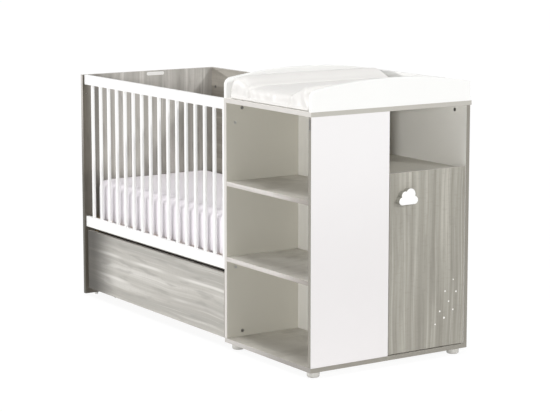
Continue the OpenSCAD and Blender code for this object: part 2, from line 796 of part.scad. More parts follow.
module white_side_panel() color(c_white) place() difference() {
    board([panel_x, 0, floor_z], [board_t, cupboard_y, chest_under_z - floor_z]);
    for (j = chest_cams()) if (j[1][0] < 0) cam_pocket(j, cam_in);
    board([fitting_x, -1, fitting_z], [fitting_w, fitting_d + 1, fitting_h]);
    for (z = [shelf_low_z, shelf_up_z]) pin_holes(panel_x - 1, niche_pin_y, z);
}

module corner_fitting() color(c_dark) place()
    board([fitting_x, 0.5, fitting_z], [fitting_w, fitting_d - 0.5, fitting_h]);

module chest_back() color(c_inner) place() difference() {
    board([chest_x, chest_back_y, floor_z], [chest_w, board_t, chest_under_z - floor_z]);
    for (j = chest_cams()) if (j[1][1] < 0) cam_pocket(j, cam_in);
    for (z = hinge_z, s = [-1, 1])
        bar_y([plate_x + plate_l / 2, chest_back_y - 1, z + s * 16],
            hinge_screw_d + 2 * hole_gap, 13);
    bar_y([cupboard_pin_x, chest_back_y - 1, cupboard_pin_z],
        pin_d + 2 * hole_gap, pin_l - pin_out + 1);
}

module chest_divider() color(c_inner) place() difference() {
    board([niche_x, divider_y, floor_z],
        [panel_x - niche_x, board_t, chest_under_z - floor_z]);
    for (j = chest_cams()) if (j[1][1] > 0) cam_pocket(j, cam_in);
    bar_y([cupboard_pin_x, cupboard_y - pin_l + pin_out, cupboard_pin_z],
        pin_d + 2 * hole_gap, pin_l);
}

shelf_gap = 0.5;
module niche_shelf(z) {
    board([niche_x + shelf_gap, 0.5, z - board_t],
        [panel_x - niche_x - 2 * shelf_gap, niche_d - 0.5, board_t]);
}
module niche_shelf_upper() color(c_grey) place() niche_shelf(shelf_up_z);
module niche_shelf_lower() color(c_grey) place() niche_shelf(shelf_low_z);

module cupboard_shelf() color(c_grey) place()
    board([niche_x + shelf_gap, cupboard_y + shelf_gap, cupboard_shelf_z - board_t],
        [door_x - 1 - niche_x - shelf_gap, chest_back_y - cupboard_y - 2 * shelf_gap, board_t]);

// A pin under a shelf: half in the board, half under the shelf
module pin_x(x, y, z) bar_x([x, y, z - board_t - pin_d / 2], pin_d, pin_l);
module shelf_pins() color(c_steel) place() {
    in = niche_x - pin_l + pin_out;
    for (z = [shelf_low_z, shelf_up_z], y = niche_pin_y) {
        pin_x(in, y, z);
        pin_x(panel_x - pin_out, y, z);
    }
    for (y = cupboard_pin_y) pin_x(in, y, cupboard_shelf_z);
    for (y = [cupboard_y - pin_l + pin_out, chest_back_y - pin_out])
        bar_y([cupboard_pin_x, y, cupboard_pin_z], pin_d, pin_l);
}

module cam_locks() color(c_zinc) place() {
    for (j = chest_cams()) cam_disc(j);
    for (j = back_panel_cams()) cam_disc(j);
}

module cam_bolts() color(c_steel) place() {
    for (j = chest_cams()) cam_bolt(j, cam_in);
    for (j = back_panel_cams()) cam_bolt(j, cam_in_long);
}

// A foot with a sunk screw: the head bears on the step inside the foot
module chest_feet() color(c_white) place()
    for (p = foot_places()) difference() {
        bar_z([p[0], p[1], 0], foot_d, foot_h);
        bar_z([p[0], p[1], -1], foot_head_d + 2 * hole_gap, foot_head_z + foot_head_h + 1);
        bar_z([p[0], p[1], 0], rim_screw_d + 2 * hole_gap, foot_h + 1);
    }

module foot_screws() color(c_steel) place()
    for (p = foot_places()) union() {
        bar_z([p[0], p[1], foot_head_z], foot_head_d, foot_head_h);
        bar_z([p[0], p[1], foot_head_z], rim_screw_d, foot_h + 12 - foot_head_z);
    }

// ------------------------------------------------------------- door and hinge

module door_panel() color(c_wood) place() difference() {
    board([door_x, door_y, door_z], [board_t, door_w, door_h]);
    for (z = hinge_z)
        bar_x([door_x - 1, cup_y, z], cup_d + 2 * hole_gap, cup_depth + 1.1);
    for (s = knob_screw_y)
        bar_x([door_x - 1, knob_y + s, knob_z], knob_screw_d + 2 * hole_gap, board_t + 2);
}

// The cloud: four lobes on a flat base, seen from outside, in the YZ plane,
// drawn 95 wide and scaled to its width
module cloud() {
    scale(knob_w / 95) translate([-47.5, -33]) {
        translate([16, 16]) circle(r = 16);
        translate([31, 38]) circle(r = 18);
        translate([58, 42]) circle(r = 24);
        translate([78, 17]) circle(r = 17);
        translate([16, 0]) square([62, 36]);
    }
}

module door_knob() color(c_white) place() difference() {
    translate([chest_r, knob_y, knob_z]) rotate([90, 0, 90]) linear_extrude(knob_t) cloud();
    for (s = knob_screw_y)
        bar_x([chest_r - 1, knob_y + s, knob_z], knob_screw_d + 2 * hole_gap, 14);
}

module knob_screws() color(c_steel) place()
    for (s = knob_screw_y) {
        bar_x([door_x, knob_y + s, knob_z], knob_screw_d, board_t + 12);
        bar_x([door_x - 2, knob_y + s, knob_z], 2 * knob_screw_d, 2);
    }

// A cup sunk in the door, with its flange on the door's inner face
module hinge_cups() color(c_steel) place()
    for (z = hinge_z) difference() {
        union() {
            bar_x([door_x, cup_y, z], cup_d, cup_depth);
            bar_x([door_x - flange_t, cup_y, z], flange_d, flange_t);
        }
        bar_x([door_x - flange_t - 1, cup_y, z], cup_d - 4, cup_depth + 0.5);
    }

// A plate on the chest's back board and an arm that reaches to the cup
module hinge_plates() color(c_steel) place()
    for (z = hinge_z) difference() {
        board([plate_x, chest_back_y - plate_t, z - plate_h / 2],
            [plate_l, plate_t, plate_h]);
        for (s = [-1, 1])
            bar_y([plate_x + plate_l / 2, chest_back_y - plate_t - 1, z + s * 16],
                hinge_screw_d + 2 * hole_gap, plate_t + 2);
    }

module hinge_arms() color(c_steel) place()
    for (z = hinge_z) union() {
        board([plate_x, chest_back_y - plate_t - arm_t, z - arm_h / 2],
            [arm_l, arm_t, arm_h]);
        board([door_x - flange_t - cup_gap - 12, cup_y - 8, z - arm_h / 2],
            [12, chest_back_y - plate_t - cup_y + 8, arm_h]);
    }

module hinge_screws() color(c_steel) place()
    for (z = hinge_z, s = [-1, 1]) {
        bar_y([plate_x + plate_l / 2, chest_back_y - plate_t, z + s * 16],
            hinge_screw_d, plate_t + 12);
        bar_y([plate_x + plate_l / 2, chest_back_y - plate_t - 1.5, z + s * 16],
            2 * hinge_screw_d, 1.5);
    }

// ------------------------------------------------------------------- changer
// Side rim's outline: a long arch with a rounded front end. The arch's centre
// is below the middle of the rim, and the corner's circle touches it inside.
arch_z = rim_h - rim_r;
corner_z = arch_z + sqrt(pow(rim_r - rim_corner_r, 2) - pow(rim_l / 2 - rim_corner_r, 2));
corner_a = 180 - acos((rim_l / 2 - rim_corner_r) / (rim_r - rim_corner_r));
end_a = acos(rim_l / 2 / rim_r);
function rim_outline() = concat(
    [[rim_l, 0]],
    [for (i = [0 : 23]) let (t = end_a + (corner_a - end_a) * i / 24)
        [rim_l / 2 + rim_r * cos(t), arch_z + rim_r * sin(t)]],
    [for (i = [0 : 8]) let (t = corner_a + (180 - corner_a) * i / 8)
        [rim_corner_r + rim_corner_r * cos(t), corner_z + rim_corner_r * sin(t)]],
    [[0, 0]]);

module side_rim(x) difference() {
    translate([x, 0, chest_top_z]) rotate([90, 0, 90])
        linear_extrude(board_t) polygon(rim_outline());
    rim_screw_holes();
}
module rim_screw_holes() {
    for (p = rim_screw_places())
        bar_z([p[0], p[1], chest_top_z - 1], rim_screw_d + 2 * hole_gap,
            rim_screw_l - board_t + 2);
}

module changer_rim_left() color(c_white) place() side_rim(chest_x);
module changer_rim_right() color(c_white) place() side_rim(panel_x);
module changer_rim_back() color(c_white) place() difference() {
    board([niche_x, chest_back_y, chest_top_z], [panel_x - niche_x, board_t, rim_back_h]);
    rim_screw_holes();
}

module rim_screws() color(c_steel) place()
    for (p = rim_screw_places())
        bar_z([p[0], p[1], chest_under_z], rim_screw_d, rim_screw_l);

// The mat's section at one station: flat under side, two rolled bolsters and
// a hollow between them. rise is from 0 at an end to 1 in the body of the mat.
function mat_top(x) =
    let (e = mat_w / 2 - abs(x), t = min(max((e - 44) / (bolster_w - 44), 0), 1),
         edge = pow(1 - min(max(e / 26, 0), 1), 2.5))
    mat_t + (bolster_h - mat_t) * (0.5 + 0.5 * cos(180 * t)) - (bolster_h - 22) * edge;
function mat_ring(y, rise, inset) = concat(
    [for (i = [0 : 28]) let (x = (mat_w / 2 - inset) * cos(180 * i / 28))
        [x, y, max(mat_top(x * mat_w / (mat_w - 2 * inset)) * rise, 16 * rise + 3)]],
    [for (i = [0 : 6]) let (x = (mat_w / 2 - inset - 8) * (-1 + 2 * i / 6))
        [x, y, 0]]);
function mat_stations() = concat(
    [for (i = [0 : 5]) let (t = 90 * i / 5) [14 * (1 - cos(t)), 0.55 + 0.45 * sin(t), 8 * (1 - sin(t))]],
    [for (i = [1 : 7]) [14 + (mat_l - 42) * i / 8, 1, 0]],
    [for (i = [0 : 5]) let (t = 90 * i / 5) [mat_l - 28 + 28 * sin(t), 0.4 + 0.6 * cos(t), 10 * (1 - cos(t))]]);

module changer_mat() color(c_white) place() {
    rings = [for (s = mat_stations()) mat_ring(s[0], s[1], s[2])];
    n = len(rings[0]);
    m = len(rings);
    points = concat([for (r = rings) each r],
        [[0, 0, mat_t * 0.25], [0, mat_l, mat_t * 0.2]]);
    faces = concat(
        [for (k = [0 : m - 2], i = [0 : n - 1])
            let (a = k * n + i, b = k * n + (i + 1) % n) each [[a, b, b + n], [a, b + n, a + n]]],
        [for (i = [0 : n - 1]) [i, m * n, (i + 1) % n]],
        [for (i = [0 : n - 1]) [(m - 1) * n + i, (m - 1) * n + (i + 1) % n, m * n + 1]]);
    translate([mat_x + mat_w / 2, mat_y, chest_top_z + soft_gap])
        polyhedron(points, faces, convexity = 6);
}

end_panel();
end_panel_glides();
end_panel_strip();
back_panel();
gate_top_rail();
gate_bottom_rail();
gate_slats();
gate_post();
gate_bolts();
gate_barrel_nuts();
gate_dowels();
post_bolts();
base_rail_front();
base_rail_back();
base_slats();
base_cleats();
cleat_screws();
mattress();
drawer_front();
drawer_side_left();
drawer_side_right();
drawer_back();
drawer_bottom();
drawer_bearers();
drawer_cams();
drawer_cam_bolts();
drawer_screws();
castor_forks();
castor_axles();
wheel_front_left();
wheel_front_right();
wheel_rear_left();
wheel_rear_right();
chest_top();
chest_bottom();
chest_side();
white_side_panel();
chest_back();
chest_divider();
niche_shelf_upper();
niche_shelf_lower();
cupboard_shelf();
shelf_pins();
cam_locks();
cam_bolts();
chest_feet();
foot_screws();
corner_fitting();
door_panel();
door_knob();
knob_screws();
hinge_cups();
hinge_arms();
hinge_plates();
hinge_screws();
changer_rim_left();
changer_rim_right();
changer_rim_back();
rim_screws();
changer_mat();
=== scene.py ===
"""Looks of the crib with attached changer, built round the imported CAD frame.

The frame gives every size and place. Boards, bars and fittings are finished
copies of the CAD nodes' own meshes, with eased edges and edge bands. Slats,
screws and cam locks are grown by geometry nodes. The mattress and the
changing mat are padded pieces that are blown up as cloth.
"""

import logging
import math
from dataclasses import dataclass, field, replace
from enum import Enum
from typing import Any, Iterable, Sequence

import bmesh
import bpy
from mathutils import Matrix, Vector, noise as lumps


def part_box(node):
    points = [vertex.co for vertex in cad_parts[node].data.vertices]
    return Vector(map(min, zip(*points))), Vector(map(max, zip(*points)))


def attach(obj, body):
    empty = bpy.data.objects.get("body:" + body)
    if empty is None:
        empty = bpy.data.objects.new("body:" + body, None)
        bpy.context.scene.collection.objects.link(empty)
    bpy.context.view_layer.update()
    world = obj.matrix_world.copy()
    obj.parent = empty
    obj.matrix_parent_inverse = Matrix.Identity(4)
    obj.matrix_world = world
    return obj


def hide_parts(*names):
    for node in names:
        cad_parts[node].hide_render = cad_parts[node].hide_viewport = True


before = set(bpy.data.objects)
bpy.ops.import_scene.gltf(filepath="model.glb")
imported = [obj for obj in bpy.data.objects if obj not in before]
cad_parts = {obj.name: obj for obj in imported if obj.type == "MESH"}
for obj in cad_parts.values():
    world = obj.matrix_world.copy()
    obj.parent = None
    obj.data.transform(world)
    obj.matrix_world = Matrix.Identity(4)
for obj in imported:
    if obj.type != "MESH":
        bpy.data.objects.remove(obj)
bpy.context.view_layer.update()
log = logging.getLogger("crib")

MM = 0.001
FRONT, RIGHT, DOWN = (0, -1, 0), (1, 0, 0), (0, 0, -1)
Link = Any
Way = tuple[int, int, int]
Point = tuple[Vector, Vector, Vector]
SMOOTH = {"interpolation_type": "SMOOTHSTEP"}
MIX = {"out": 2, "data_type": "RGBA"}


class Axis(Enum):
    """One of the frame's three directions, by its place in a vector."""

    X = 0
    Y = 1
    Z = 2


# ------------------------------------------------------------- nodes, colour
class Graph:
    """A node tree, with the one way in which nodes are added to it."""

    def __init__(self, tree: bpy.types.NodeTree) -> None:
        """Takes the tree that the nodes go into."""
        self.tree = tree

    def add(self, kind: str, links: dict[Any, Link] | None = None, out: int | str = 0,
            **settings: Any) -> Link:
        """Adds one node with its settings, values and links.

        Args:
            kind: Blender's name of the node's type.
            links: Input name or number to an output, a list of them or a value.
            out: Number or name of the output to give back.
            **settings: Properties of the node, such as its operation.

        Returns:
            That output, or None where the node has none.
        """
        node = self.tree.nodes.new(kind)
        for key, value in settings.items():
            setattr(node, key, value)
        for key, given in (links or {}).items():
            for value in given if isinstance(given, list) else [given]:
                if isinstance(value, bpy.types.NodeSocket):
                    self.tree.links.new(value, node.inputs[key])
                else:
                    node.inputs[key].default_value = value
        return node.outputs[out] if node.outputs else None


def cleared(owner: bpy.types.Material | bpy.types.World) -> bpy.types.NodeTree:
    """Gives a material or world an empty node tree."""
    owner.use_nodes = True
    owner.node_tree.nodes.clear()
    return owner.node_tree


def linear(hex_code: str) -> tuple[float, float, float, float]:
    """Turns an sRGB hex colour such as "c8c3bb" to linear RGBA by the sRGB curve."""
    parts = [int(hex_code[i:i + 2], 16) / 255 for i in (0, 2, 4)]
    return (*(p / 12.92 if p <= 0.04045 else ((p + 0.055) / 1.055) ** 2.4 for p in parts), 1.0)


# ------------------------------------------------------------------ finishes
class Ink(Graph):
    """A material's tree, with the shader and the place that finishes paint with."""

    def __init__(self, owner: bpy.types.Material, values: dict[str, Any]) -> None:
        """Adds the shader, its output and the place.

        Args:
            owner: Material that the tree is in.
            values: Name of a shader input to its value all over the surface.
        """
        super().__init__(cleared(owner))
        surface = self.add("ShaderNodeBsdfPrincipled", values)
        self.add("ShaderNodeOutputMaterial", {"Surface": surface})
        self.shader = surface.node
        self.place = self.add("ShaderNodeTexCoord", out="Object")

    def link(self, name: str, value: Link) -> None:
        """Leads a value to one of the shader's inputs."""
        self.tree.links.new(value, self.shader.inputs[name])


@dataclass(frozen=True)
class PaintedShade:
    """Painted shade: a stretch of a board whose colour darkens where shade falls on it.

    Attributes:
        axis: Direction along which the tone changes.
        dark_at: Place in metres where the painted shade is darkest.
        clear_at: Place in metres where it has its own tone again.
        tone: Filter laid over the colour where the painted shade is darkest.
    """

    axis: Axis
    dark_at: float
    clear_at: float
    tone: str

    def over(self, ink: Ink) -> None:
        """Lays the filter over the colour that a finish has painted."""
        painted = ink.shader.inputs["Base Color"].links[0].from_socket
        part = ink.add("ShaderNodeSeparateXYZ", {0: ink.place}, self.axis.value)
        share = ink.add("ShaderNodeMapRange", {0: part, 1: self.clear_at, 2: self.dark_at},
                        **SMOOTH)
        ink.link("Base Color", ink.add(
            "ShaderNodeMix", {0: share, 6: painted, 7: linear(self.tone)},
            blend_type="MULTIPLY", **MIX))


@dataclass(frozen=True)
class Grit:
    """A noise in a finish.

    Attributes:
        size: Metres across one of its cells.
        detail: Layers of finer noise on it.
        roughness: Weight of those layers.
        share: Its share in the change of tone.
    """

    size: float
    detail: float = 2
    roughness: float = 0.5
    share: float = 1.0


@dataclass(frozen=True)
class Finish:
    """A surface finish: what the real one is, as a Principled surface.

    Attributes:
        name: Name of the material.
        tone: Its colour.
        grits: Noises that change the tone; the last one is pressed in as well.
        depth: Share of the light that is lost where they are 0.
        relief: Strength and depth in metres of what is pressed in.
        dulling: How far the roughness falls and rises over the pressed noise.
        painted_shade: Painted shade over a stretch of this board, if it has one.
    """

    name: str
    tone: str
    roughness: float = 0.5
    metallic: float = 0.0
    specular: float = 0.5
    coat: float = 0.0
    coat_roughness: float = 0.2
    sheen: float = 0.0
    grits: tuple[Grit, ...] = (Grit(9 * MM),)
    depth: float = 0.03
    relief: tuple[float, float] = (0.05, 0.1 * MM)
    dulling: tuple[float, float] | None = None
    painted_shade: PaintedShade | None = None

    def material(self) -> bpy.types.Material:
        """Returns the finish's material, made at its first use."""
        found = bpy.data.materials.get(self.name)
        if found:
            return found
        made = bpy.data.materials.new(self.name)
        made.diffuse_color = linear(self.tone)
        ink = Ink(made, {
            "Base Color": linear(self.tone), "Roughness": self.roughness,
            "Metallic": self.metallic, "Specular IOR Level": self.specular,
            "Coat Weight": self.coat, "Coat Roughness": self.coat_roughness,
            "Sheen Weight": self.sheen})
        self.paint(ink)
        if self.painted_shade:
            self.painted_shade.over(ink)
        return made

    def paint(self, ink: Ink) -> None:
        """Varies the tone by the noises and presses in the last one."""
        value: Link = 0.0
        for grit in self.grits:
            cells = ink.add("ShaderNodeTexNoise", {
                "Vector": ink.place, "Scale": 1 / grit.size, "Detail": grit.detail,
                "Roughness": grit.roughness})
            value = ink.add("ShaderNodeMath", {0: cells, 1: grit.share, 2: value},
                            operation="MULTIPLY_ADD")
        self.shade(ink, value)
        self.press(ink, cells)
        if self.dulling:
            low, high = self.roughness - self.dulling[0], self.roughness + self.dulling[1]
            ink.link("Roughness", ink.add("ShaderNodeMapRange", {0: cells, 3: low, 4: high}))

    def shade(self, ink: Ink, value: Link) -> None:
        """Varies the tone by a 0 to 1 value, from darker to as written."""
        tone = linear(self.tone)
        low = (*(c * (1 - self.depth) for c in tone[:3]), 1.0)
        ink.link("Base Color", ink.add("ShaderNodeMix", {0: value, 6: low, 7: tone}, **MIX))

    def press(self, ink: Ink, height: Link) -> None:
        """Gives the surface its relief from a height of 0 to 1."""
        ink.link("Normal", ink.add("ShaderNodeBump", {
            "Height": height, "Strength": self.relief[0], "Distance": self.relief[1]}))

    def layered(self, ink: Ink, layers: Iterable[tuple[Link, float, float, float, str]]
                ) -> Link:
        """Lays tones over the finish's own one.

        Args:
            ink: Tree of the material.
            layers: For each tone its pattern, the pattern's values where it starts
                and where it is full, its weight and its colour.

        Returns:
            The colour that comes of it.
        """
        colour: Link = linear(self.tone)
        for pattern, start, full, weight, tone in layers:
            share = ink.add("ShaderNodeMapRange", {0: pattern, 1: start, 2: full, 4: weight},
                            **SMOOTH)
            colour = ink.add("ShaderNodeMix", {0: share, 6: colour, 7: linear(tone)}, **MIX)
        return colour


@dataclass(frozen=True)
class Grained(Finish):
    """A finish whose pattern runs along a grain.

    Attributes:
        grain: Direction in which the grain runs.
        shift: Metres that this board's cut is moved in the pattern.
    """

    grain: Axis = Axis.Z
    shift: float = 0.0

    def parts(self, ink: Ink) -> list[Link]:
        """Splits the place into its parts along, across and through the grain."""
        along, across, through = {Axis.X: (0, 2, 1), Axis.Y: (1, 0, 2), Axis.Z: (2, 1, 0)}[
            self.grain]
        place = ink.add("ShaderNodeSeparateXYZ", {0: ink.place}).node.outputs
        moved = ink.add("ShaderNodeMath", {0: place[along], 1: self.shift}, operation="ADD")
        return [moved, place[across], place[through]]

    def streaks(self, ink: Ink, parts: Sequence[Link], sizes: Sequence[float],
                detail: float = 2, roughness: float = 0.5) -> Link:
        """Adds noise with long cells.

        Args:
            ink: Tree of the material.
            parts: The place along, across and through the grain.
            sizes: Metres of a cell in those three ways.
            detail: Layers of finer noise.
            roughness: Weight of those layers.

        Returns:
            The noise's value.
        """
        place = ink.add("ShaderNodeCombineXYZ", dict(enumerate(parts)))
        place = ink.add("ShaderNodeVectorMath", {0: place, 1: tuple(1 / s for s in sizes)},
                        operation="MULTIPLY")
        return ink.add("ShaderNodeTexNoise", {
            "Vector": place, "Scale": 1.0, "Detail": detail, "Roughness": roughness})


@dataclass(frozen=True)
class DriftwoodDecor(Grained):
    """Chipboard faced with a driftwood-grey print under melamine resin.

    The print was pressed on hot between steel plates, so it is even in gloss,
    with shallow pores. To the eye it has soft bands 30 to 60 mm wide, a few
    long pale veins, darker smudges in rows and faint ripples over the grain.
    """

    relief: tuple[float, float] = (0.25, 0.12 * MM)
    pale: str = "e8e5e0"
    dark: str = "928f89"
    brown: str = "a09a90"
    veins: tuple[float, ...] = ()
    smudges: float = 0.6

    def paint(self, ink: Ink) -> None:
        """Paints bands, streaks, smudges, ripples and veins, and presses in the pores."""
        parts = self.parts(ink)
        # the grain wanders by some millimetres over half a metre
        drift = ink.add("ShaderNodeMath", {0: self.streaks(ink, parts, (0.4, 0.3, 0.5), 1),
                                           1: 0.5}, operation="SUBTRACT")
        parts[1] = ink.add("ShaderNodeMath", {0: drift, 1: 34 * MM, 2: parts[1]},
                           operation="MULTIPLY_ADD")
        bands = self.streaks(ink, parts, (1.6, 52 * MM, 0.4), 2, 0.45)
        fine = self.streaks(ink, parts, (0.6, 7 * MM, 0.2), 3, 0.6)
        smudge = self.streaks(ink, parts, (0.17, 24 * MM, 0.2), 3)
        # real ripples are 3 to 5 mm apart; drawn at 9 mm so that they show
        ripple = self.streaks(ink, parts, (9 * MM, 30 * MM, 0.1), 1)
        pores = self.streaks(ink, parts, (60 * MM, 2.4 * MM, 20 * MM), 2, 0.6)
        colour = self.layered(ink, (
            (bands, 0.55, 0.3, 0.6, self.dark), (bands, 0.5, 0.7, 0.6, self.pale),
            (fine, 0.5, 0.75, 0.45, self.brown), (fine, 0.46, 0.25, 0.45, self.pale),
            (smudge, 0.52, 0.7, self.smudges, self.dark), (ripple, 0.5, 0.8, 0.16, self.brown),
            (pores, 0.6, 0.8, 0.25, self.brown)))
        # each vein is 8 mm wide, frayed by the fine grain, and fades here and there
        frayed = ink.add("ShaderNodeMath", {0: fine, 1: 9 * MM, 2: parts[1]},
                         operation="MULTIPLY_ADD")
        fade = ink.add("ShaderNodeMapRange", {
            0: self.streaks(ink, parts, (0.35, 0.1, 0.5), 1), 1: 0.3, 2: 0.6}, **SMOOTH)
        for place in self.veins:
            away = ink.add("ShaderNodeMath", {0: frayed, 1: place}, operation="SUBTRACT")
            away = ink.add("ShaderNodeMath", {0: away}, operation="ABSOLUTE")
            vein = ink.add("ShaderNodeMapRange", {0: away, 1: 10 * MM, 2: 1 * MM, 4: 0.75},
                           **SMOOTH)
            vein = ink.add("ShaderNodeMath", {0: vein, 1: fade}, operation="MULTIPLY")
            colour = ink.add("ShaderNodeMix", {0: vein, 6: colour, 7: linear(self.pale)}, **MIX)
        ink.link("Base Color", colour)
        self.press(ink, ink.add("ShaderNodeMath", {0: fine, 1: pores}, operation="ADD"))


@dataclass(frozen=True)
class PlainMelamine(Finish):
    """Chipboard faced with plain melamine paper between etched steel plates.

    The etched plate leaves a fine pearl: pits under a millimetre apart, with
    a slow unevenness of the core behind them. Drawn at 2.5 mm so it shows.
    """

    grits: tuple[Grit, ...] = (Grit(0.12, share=0.7), Grit(2.5 * MM, 2, 0.6, 0.3))
    depth: float = 0.025
    relief: tuple[float, float] = (0.12, 0.12 * MM)


@dataclass(frozen=True)
class EdgeBand(Finish):
    """Plastic edging of 1 mm, glued on hot, scraped and buffed along the edge.

    It is smoother than the faces and has fine scraper marks, 0.5 mm apart in
    the real one and 6 mm here, as a faint change of tone and relief.
    """

    grits: tuple[Grit, ...] = (Grit(6 * MM, 4, 0.7),)
    depth: float = 0.06
    relief: tuple[float, float] = (0.06, 0.1 * MM)


@dataclass(frozen=True)
class SprayedLacquer(Finish):
    """White lacquer sprayed on beech and fibreboard and rubbed down between coats.

    It has a satin skin with a faint orange peel, 2 mm across, drawn at 4 mm.
    """

    grits: tuple[Grit, ...] = (Grit(0.09), Grit(4 * MM, 1, share=0.0))
    depth: float = 0.025
    relief: tuple[float, float] = (0.08, 0.15 * MM)


@dataclass(frozen=True)
class PlanedSoftwood(Grained):
    """Planed pine, unfinished: yellow early wood with browner lines each 5 mm.

    A slat's own tone comes from its attribute, where it has one.
    """

    relief: tuple[float, float] = (0.25, 0.15 * MM)
    line: str = "b98d58"

    def paint(self, ink: Ink) -> None:
        """Paints year rings along the grain and presses in the fibre."""
        parts = self.parts(ink)
        rings = self.streaks(ink, parts, (0.35, 5 * MM, 12 * MM))
        tone = ink.add("ShaderNodeAttribute", out="Fac", attribute_name="tone")
        share = ink.add("ShaderNodeMath", {0: tone, 1: 0.35}, operation="MULTIPLY")
        ringed = self.layered(ink, [(rings, 0.5, 0.72, 1.0, self.line)])
        ink.link("Base Color", ink.add("ShaderNodeMix", {0: share, 6: ringed,
                                                         7: linear(self.line)}, **MIX))
        self.press(ink, self.streaks(ink, parts, (30 * MM, 1.5 * MM, 1.5 * MM)))


@dataclass(frozen=True)
class HardFibreboard(Finish):
    """Hard fibreboard, 5 mm: brown wood fibre pressed flat, with flecks of 3 mm."""

    relief: tuple[float, float] = (0.2, 0.1 * MM)
    fleck: str = "6b5238"

    def paint(self, ink: Ink) -> None:
        """Paints the flecks and the felt of the fibres."""
        flecks = ink.add("ShaderNodeTexNoise", {
            "Vector": ink.place, "Scale": 1 / (3 * MM), "Detail": 4, "Roughness": 0.7})
        ink.link("Base Color", self.layered(ink, [(flecks, 0.5, 0.75, 1.0, self.fleck)]))
        self.press(ink, flecks)


@dataclass(frozen=True)
class WovenCover(Finish):
    """Cotton and polyester cover, plain weave, brushed on the outside.

    Threads are 0.5 mm apart in the real cloth and drawn 3 mm apart. Each
    thread lifts over the next, which gives a dull, slightly furry face.
    """

    depth: float = 0.1
    relief: tuple[float, float] = (0.3, 0.35 * MM)
    thread: float = 3 * MM

    def paint(self, ink: Ink) -> None:
        """Lays threads over each other in the three directions of the cloth."""
        # a wave of scale 1 repeats every 0.314 of a unit
        weave: Link = 0.0
        for axis in Axis:
            wave = ink.add("ShaderNodeTexWave", {
                "Vector": ink.place, "Scale": 0.314 / self.thread, "Distortion": 0.4,
                "Detail": 1.0, "Detail Scale": 2.0}, "Fac", bands_direction=axis.name)
            weave = ink.add("ShaderNodeMath", {0: weave, 1: wave}, operation="MAXIMUM")
        slub = ink.add("ShaderNodeTexNoise", {
            "Vector": ink.place, "Scale": 1 / (14 * MM), "Detail": 3})
        woven = ink.add("ShaderNodeMix", {0: 0.45, 2: weave, 3: slub}, data_type="FLOAT")
        self.shade(ink, woven)
        self.press(ink, woven)


@dataclass(frozen=True)
class FoiledVinyl(Finish):
    """PVC film on a cotton backing, embossed with a fine leather grain.

    The grain is about 1 mm across and drawn at 2.2 mm. The film is soft and
    wiped clean, so it has a mild, broad gloss.
    """

    relief: tuple[float, float] = (0.12, 0.12 * MM)

    def paint(self, ink: Ink) -> None:
        """Embosses the grain and lets the tone dip a little in it."""
        cells = ink.add("ShaderNodeTexVoronoi", {"Vector": ink.place, "Scale": 1 / (2.2 * MM)},
                        "Distance", feature="DISTANCE_TO_EDGE")
        grain = ink.add("ShaderNodeMapRange", {0: cells, 1: 0.0, 2: 0.25}, **SMOOTH)
        slow = ink.add("ShaderNodeTexNoise", {"Vector": ink.place, "Scale": 1 / (50 * MM)})
        self.shade(ink, ink.add("ShaderNodeMix", {0: 0.5, 2: grain, 3: slow},
                                data_type="FLOAT"))
        self.press(ink, grain)


@dataclass(frozen=True)
class MouldedPlastic(Finish):
    """Injection-moulded plastic with the fine spark texture of its mould.

    The texture is 0.5 mm across in the real one and 1.5 mm here.
    """

    grits: tuple[Grit, ...] = (Grit(1.5 * MM, 2, 0.7),)
    depth: float = 0.05
    relief: tuple[float, float] = (0.12, 0.1 * MM)


@dataclass(frozen=True)
class PlatedMetal(Finish):
    """Steel or die-cast zinc, tumbled and then plated, so its gloss has small marks."""

    grits: tuple[Grit, ...] = (Grit(1.2 * MM, 3, 0.6),)
    depth: float = 0.1
    relief: tuple[float, float] = (0.1, 0.05 * MM)
    dulling: tuple[float, float] | None = (0.08, 0.1)


LEFT_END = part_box("drawer_front")[0].x
FRONT_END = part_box("end_panel")[0].y
RIGHT_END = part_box("niche_shelf_upper")[1].x
# painted shade: the drawer front darkens towards its left end, by the end panel
FRONT_DECOR = DriftwoodDecor(
    "driftwood_decor_drawer", "b8b5ae", grain=Axis.X, shift=0.31, veins=(0.137, 0.232),
    dark="9a9791", pale="e4e1dc", brown="a39e95",
    painted_shade=PaintedShade(Axis.X, LEFT_END + 0.04, LEFT_END + 0.29, "5d5951"))
END_DECOR = DriftwoodDecor("driftwood_decor_end", "c3c0ba", shift=1.7)
# painted shade: the end panel's inner face is a darker copy of its décor, darker still towards
# its front edge
END_INNER_SHADED = replace(END_DECOR, name="driftwood_decor_end_inner_shaded", tone="b6b3ad",
                    painted_shade=PaintedShade(Axis.Y, FRONT_END, FRONT_END + 0.13, "8a857b"))
# painted shade: the back panel is a darker copy of the same décor, for the shade on its inner
# face
BACK_DECOR_SHADED = DriftwoodDecor(
    "driftwood_decor_back_shaded", "a39e94", grain=Axis.X, shift=2.9, dark="888379", pale="c9c4ba",
    brown="878176", smudges=0.4)
DOOR_DECOR = DriftwoodDecor(
    "driftwood_decor_door", "a29f95", shift=4.2, dark="7f7b72", pale="d3cfc5",
    brown="7c766b", smudges=0.3)
SHELF_DECOR = DriftwoodDecor(
    "driftwood_decor_shelf", "dbd8d0", grain=Axis.X, shift=6.1, dark="a39f95", pale="efede7",
    brown="9c968c", smudges=0.5)
# painted shade: the shelves' front edges darken towards the white side panel at their right end
SHELF_BAND = DriftwoodDecor(
    "driftwood_decor_shelf_edge", "d0cbc6", 0.42, grain=Axis.X, shift=7.7, dark="b3aea7",
    pale="f0ece7", brown="b1aba3", smudges=0.5,
    painted_shade=PaintedShade(Axis.X, RIGHT_END, RIGHT_END - 0.26, "c4c0bd"))
DECOR_BAND = EdgeBand("driftwood_edge_band", "bcb8b1", 0.42)
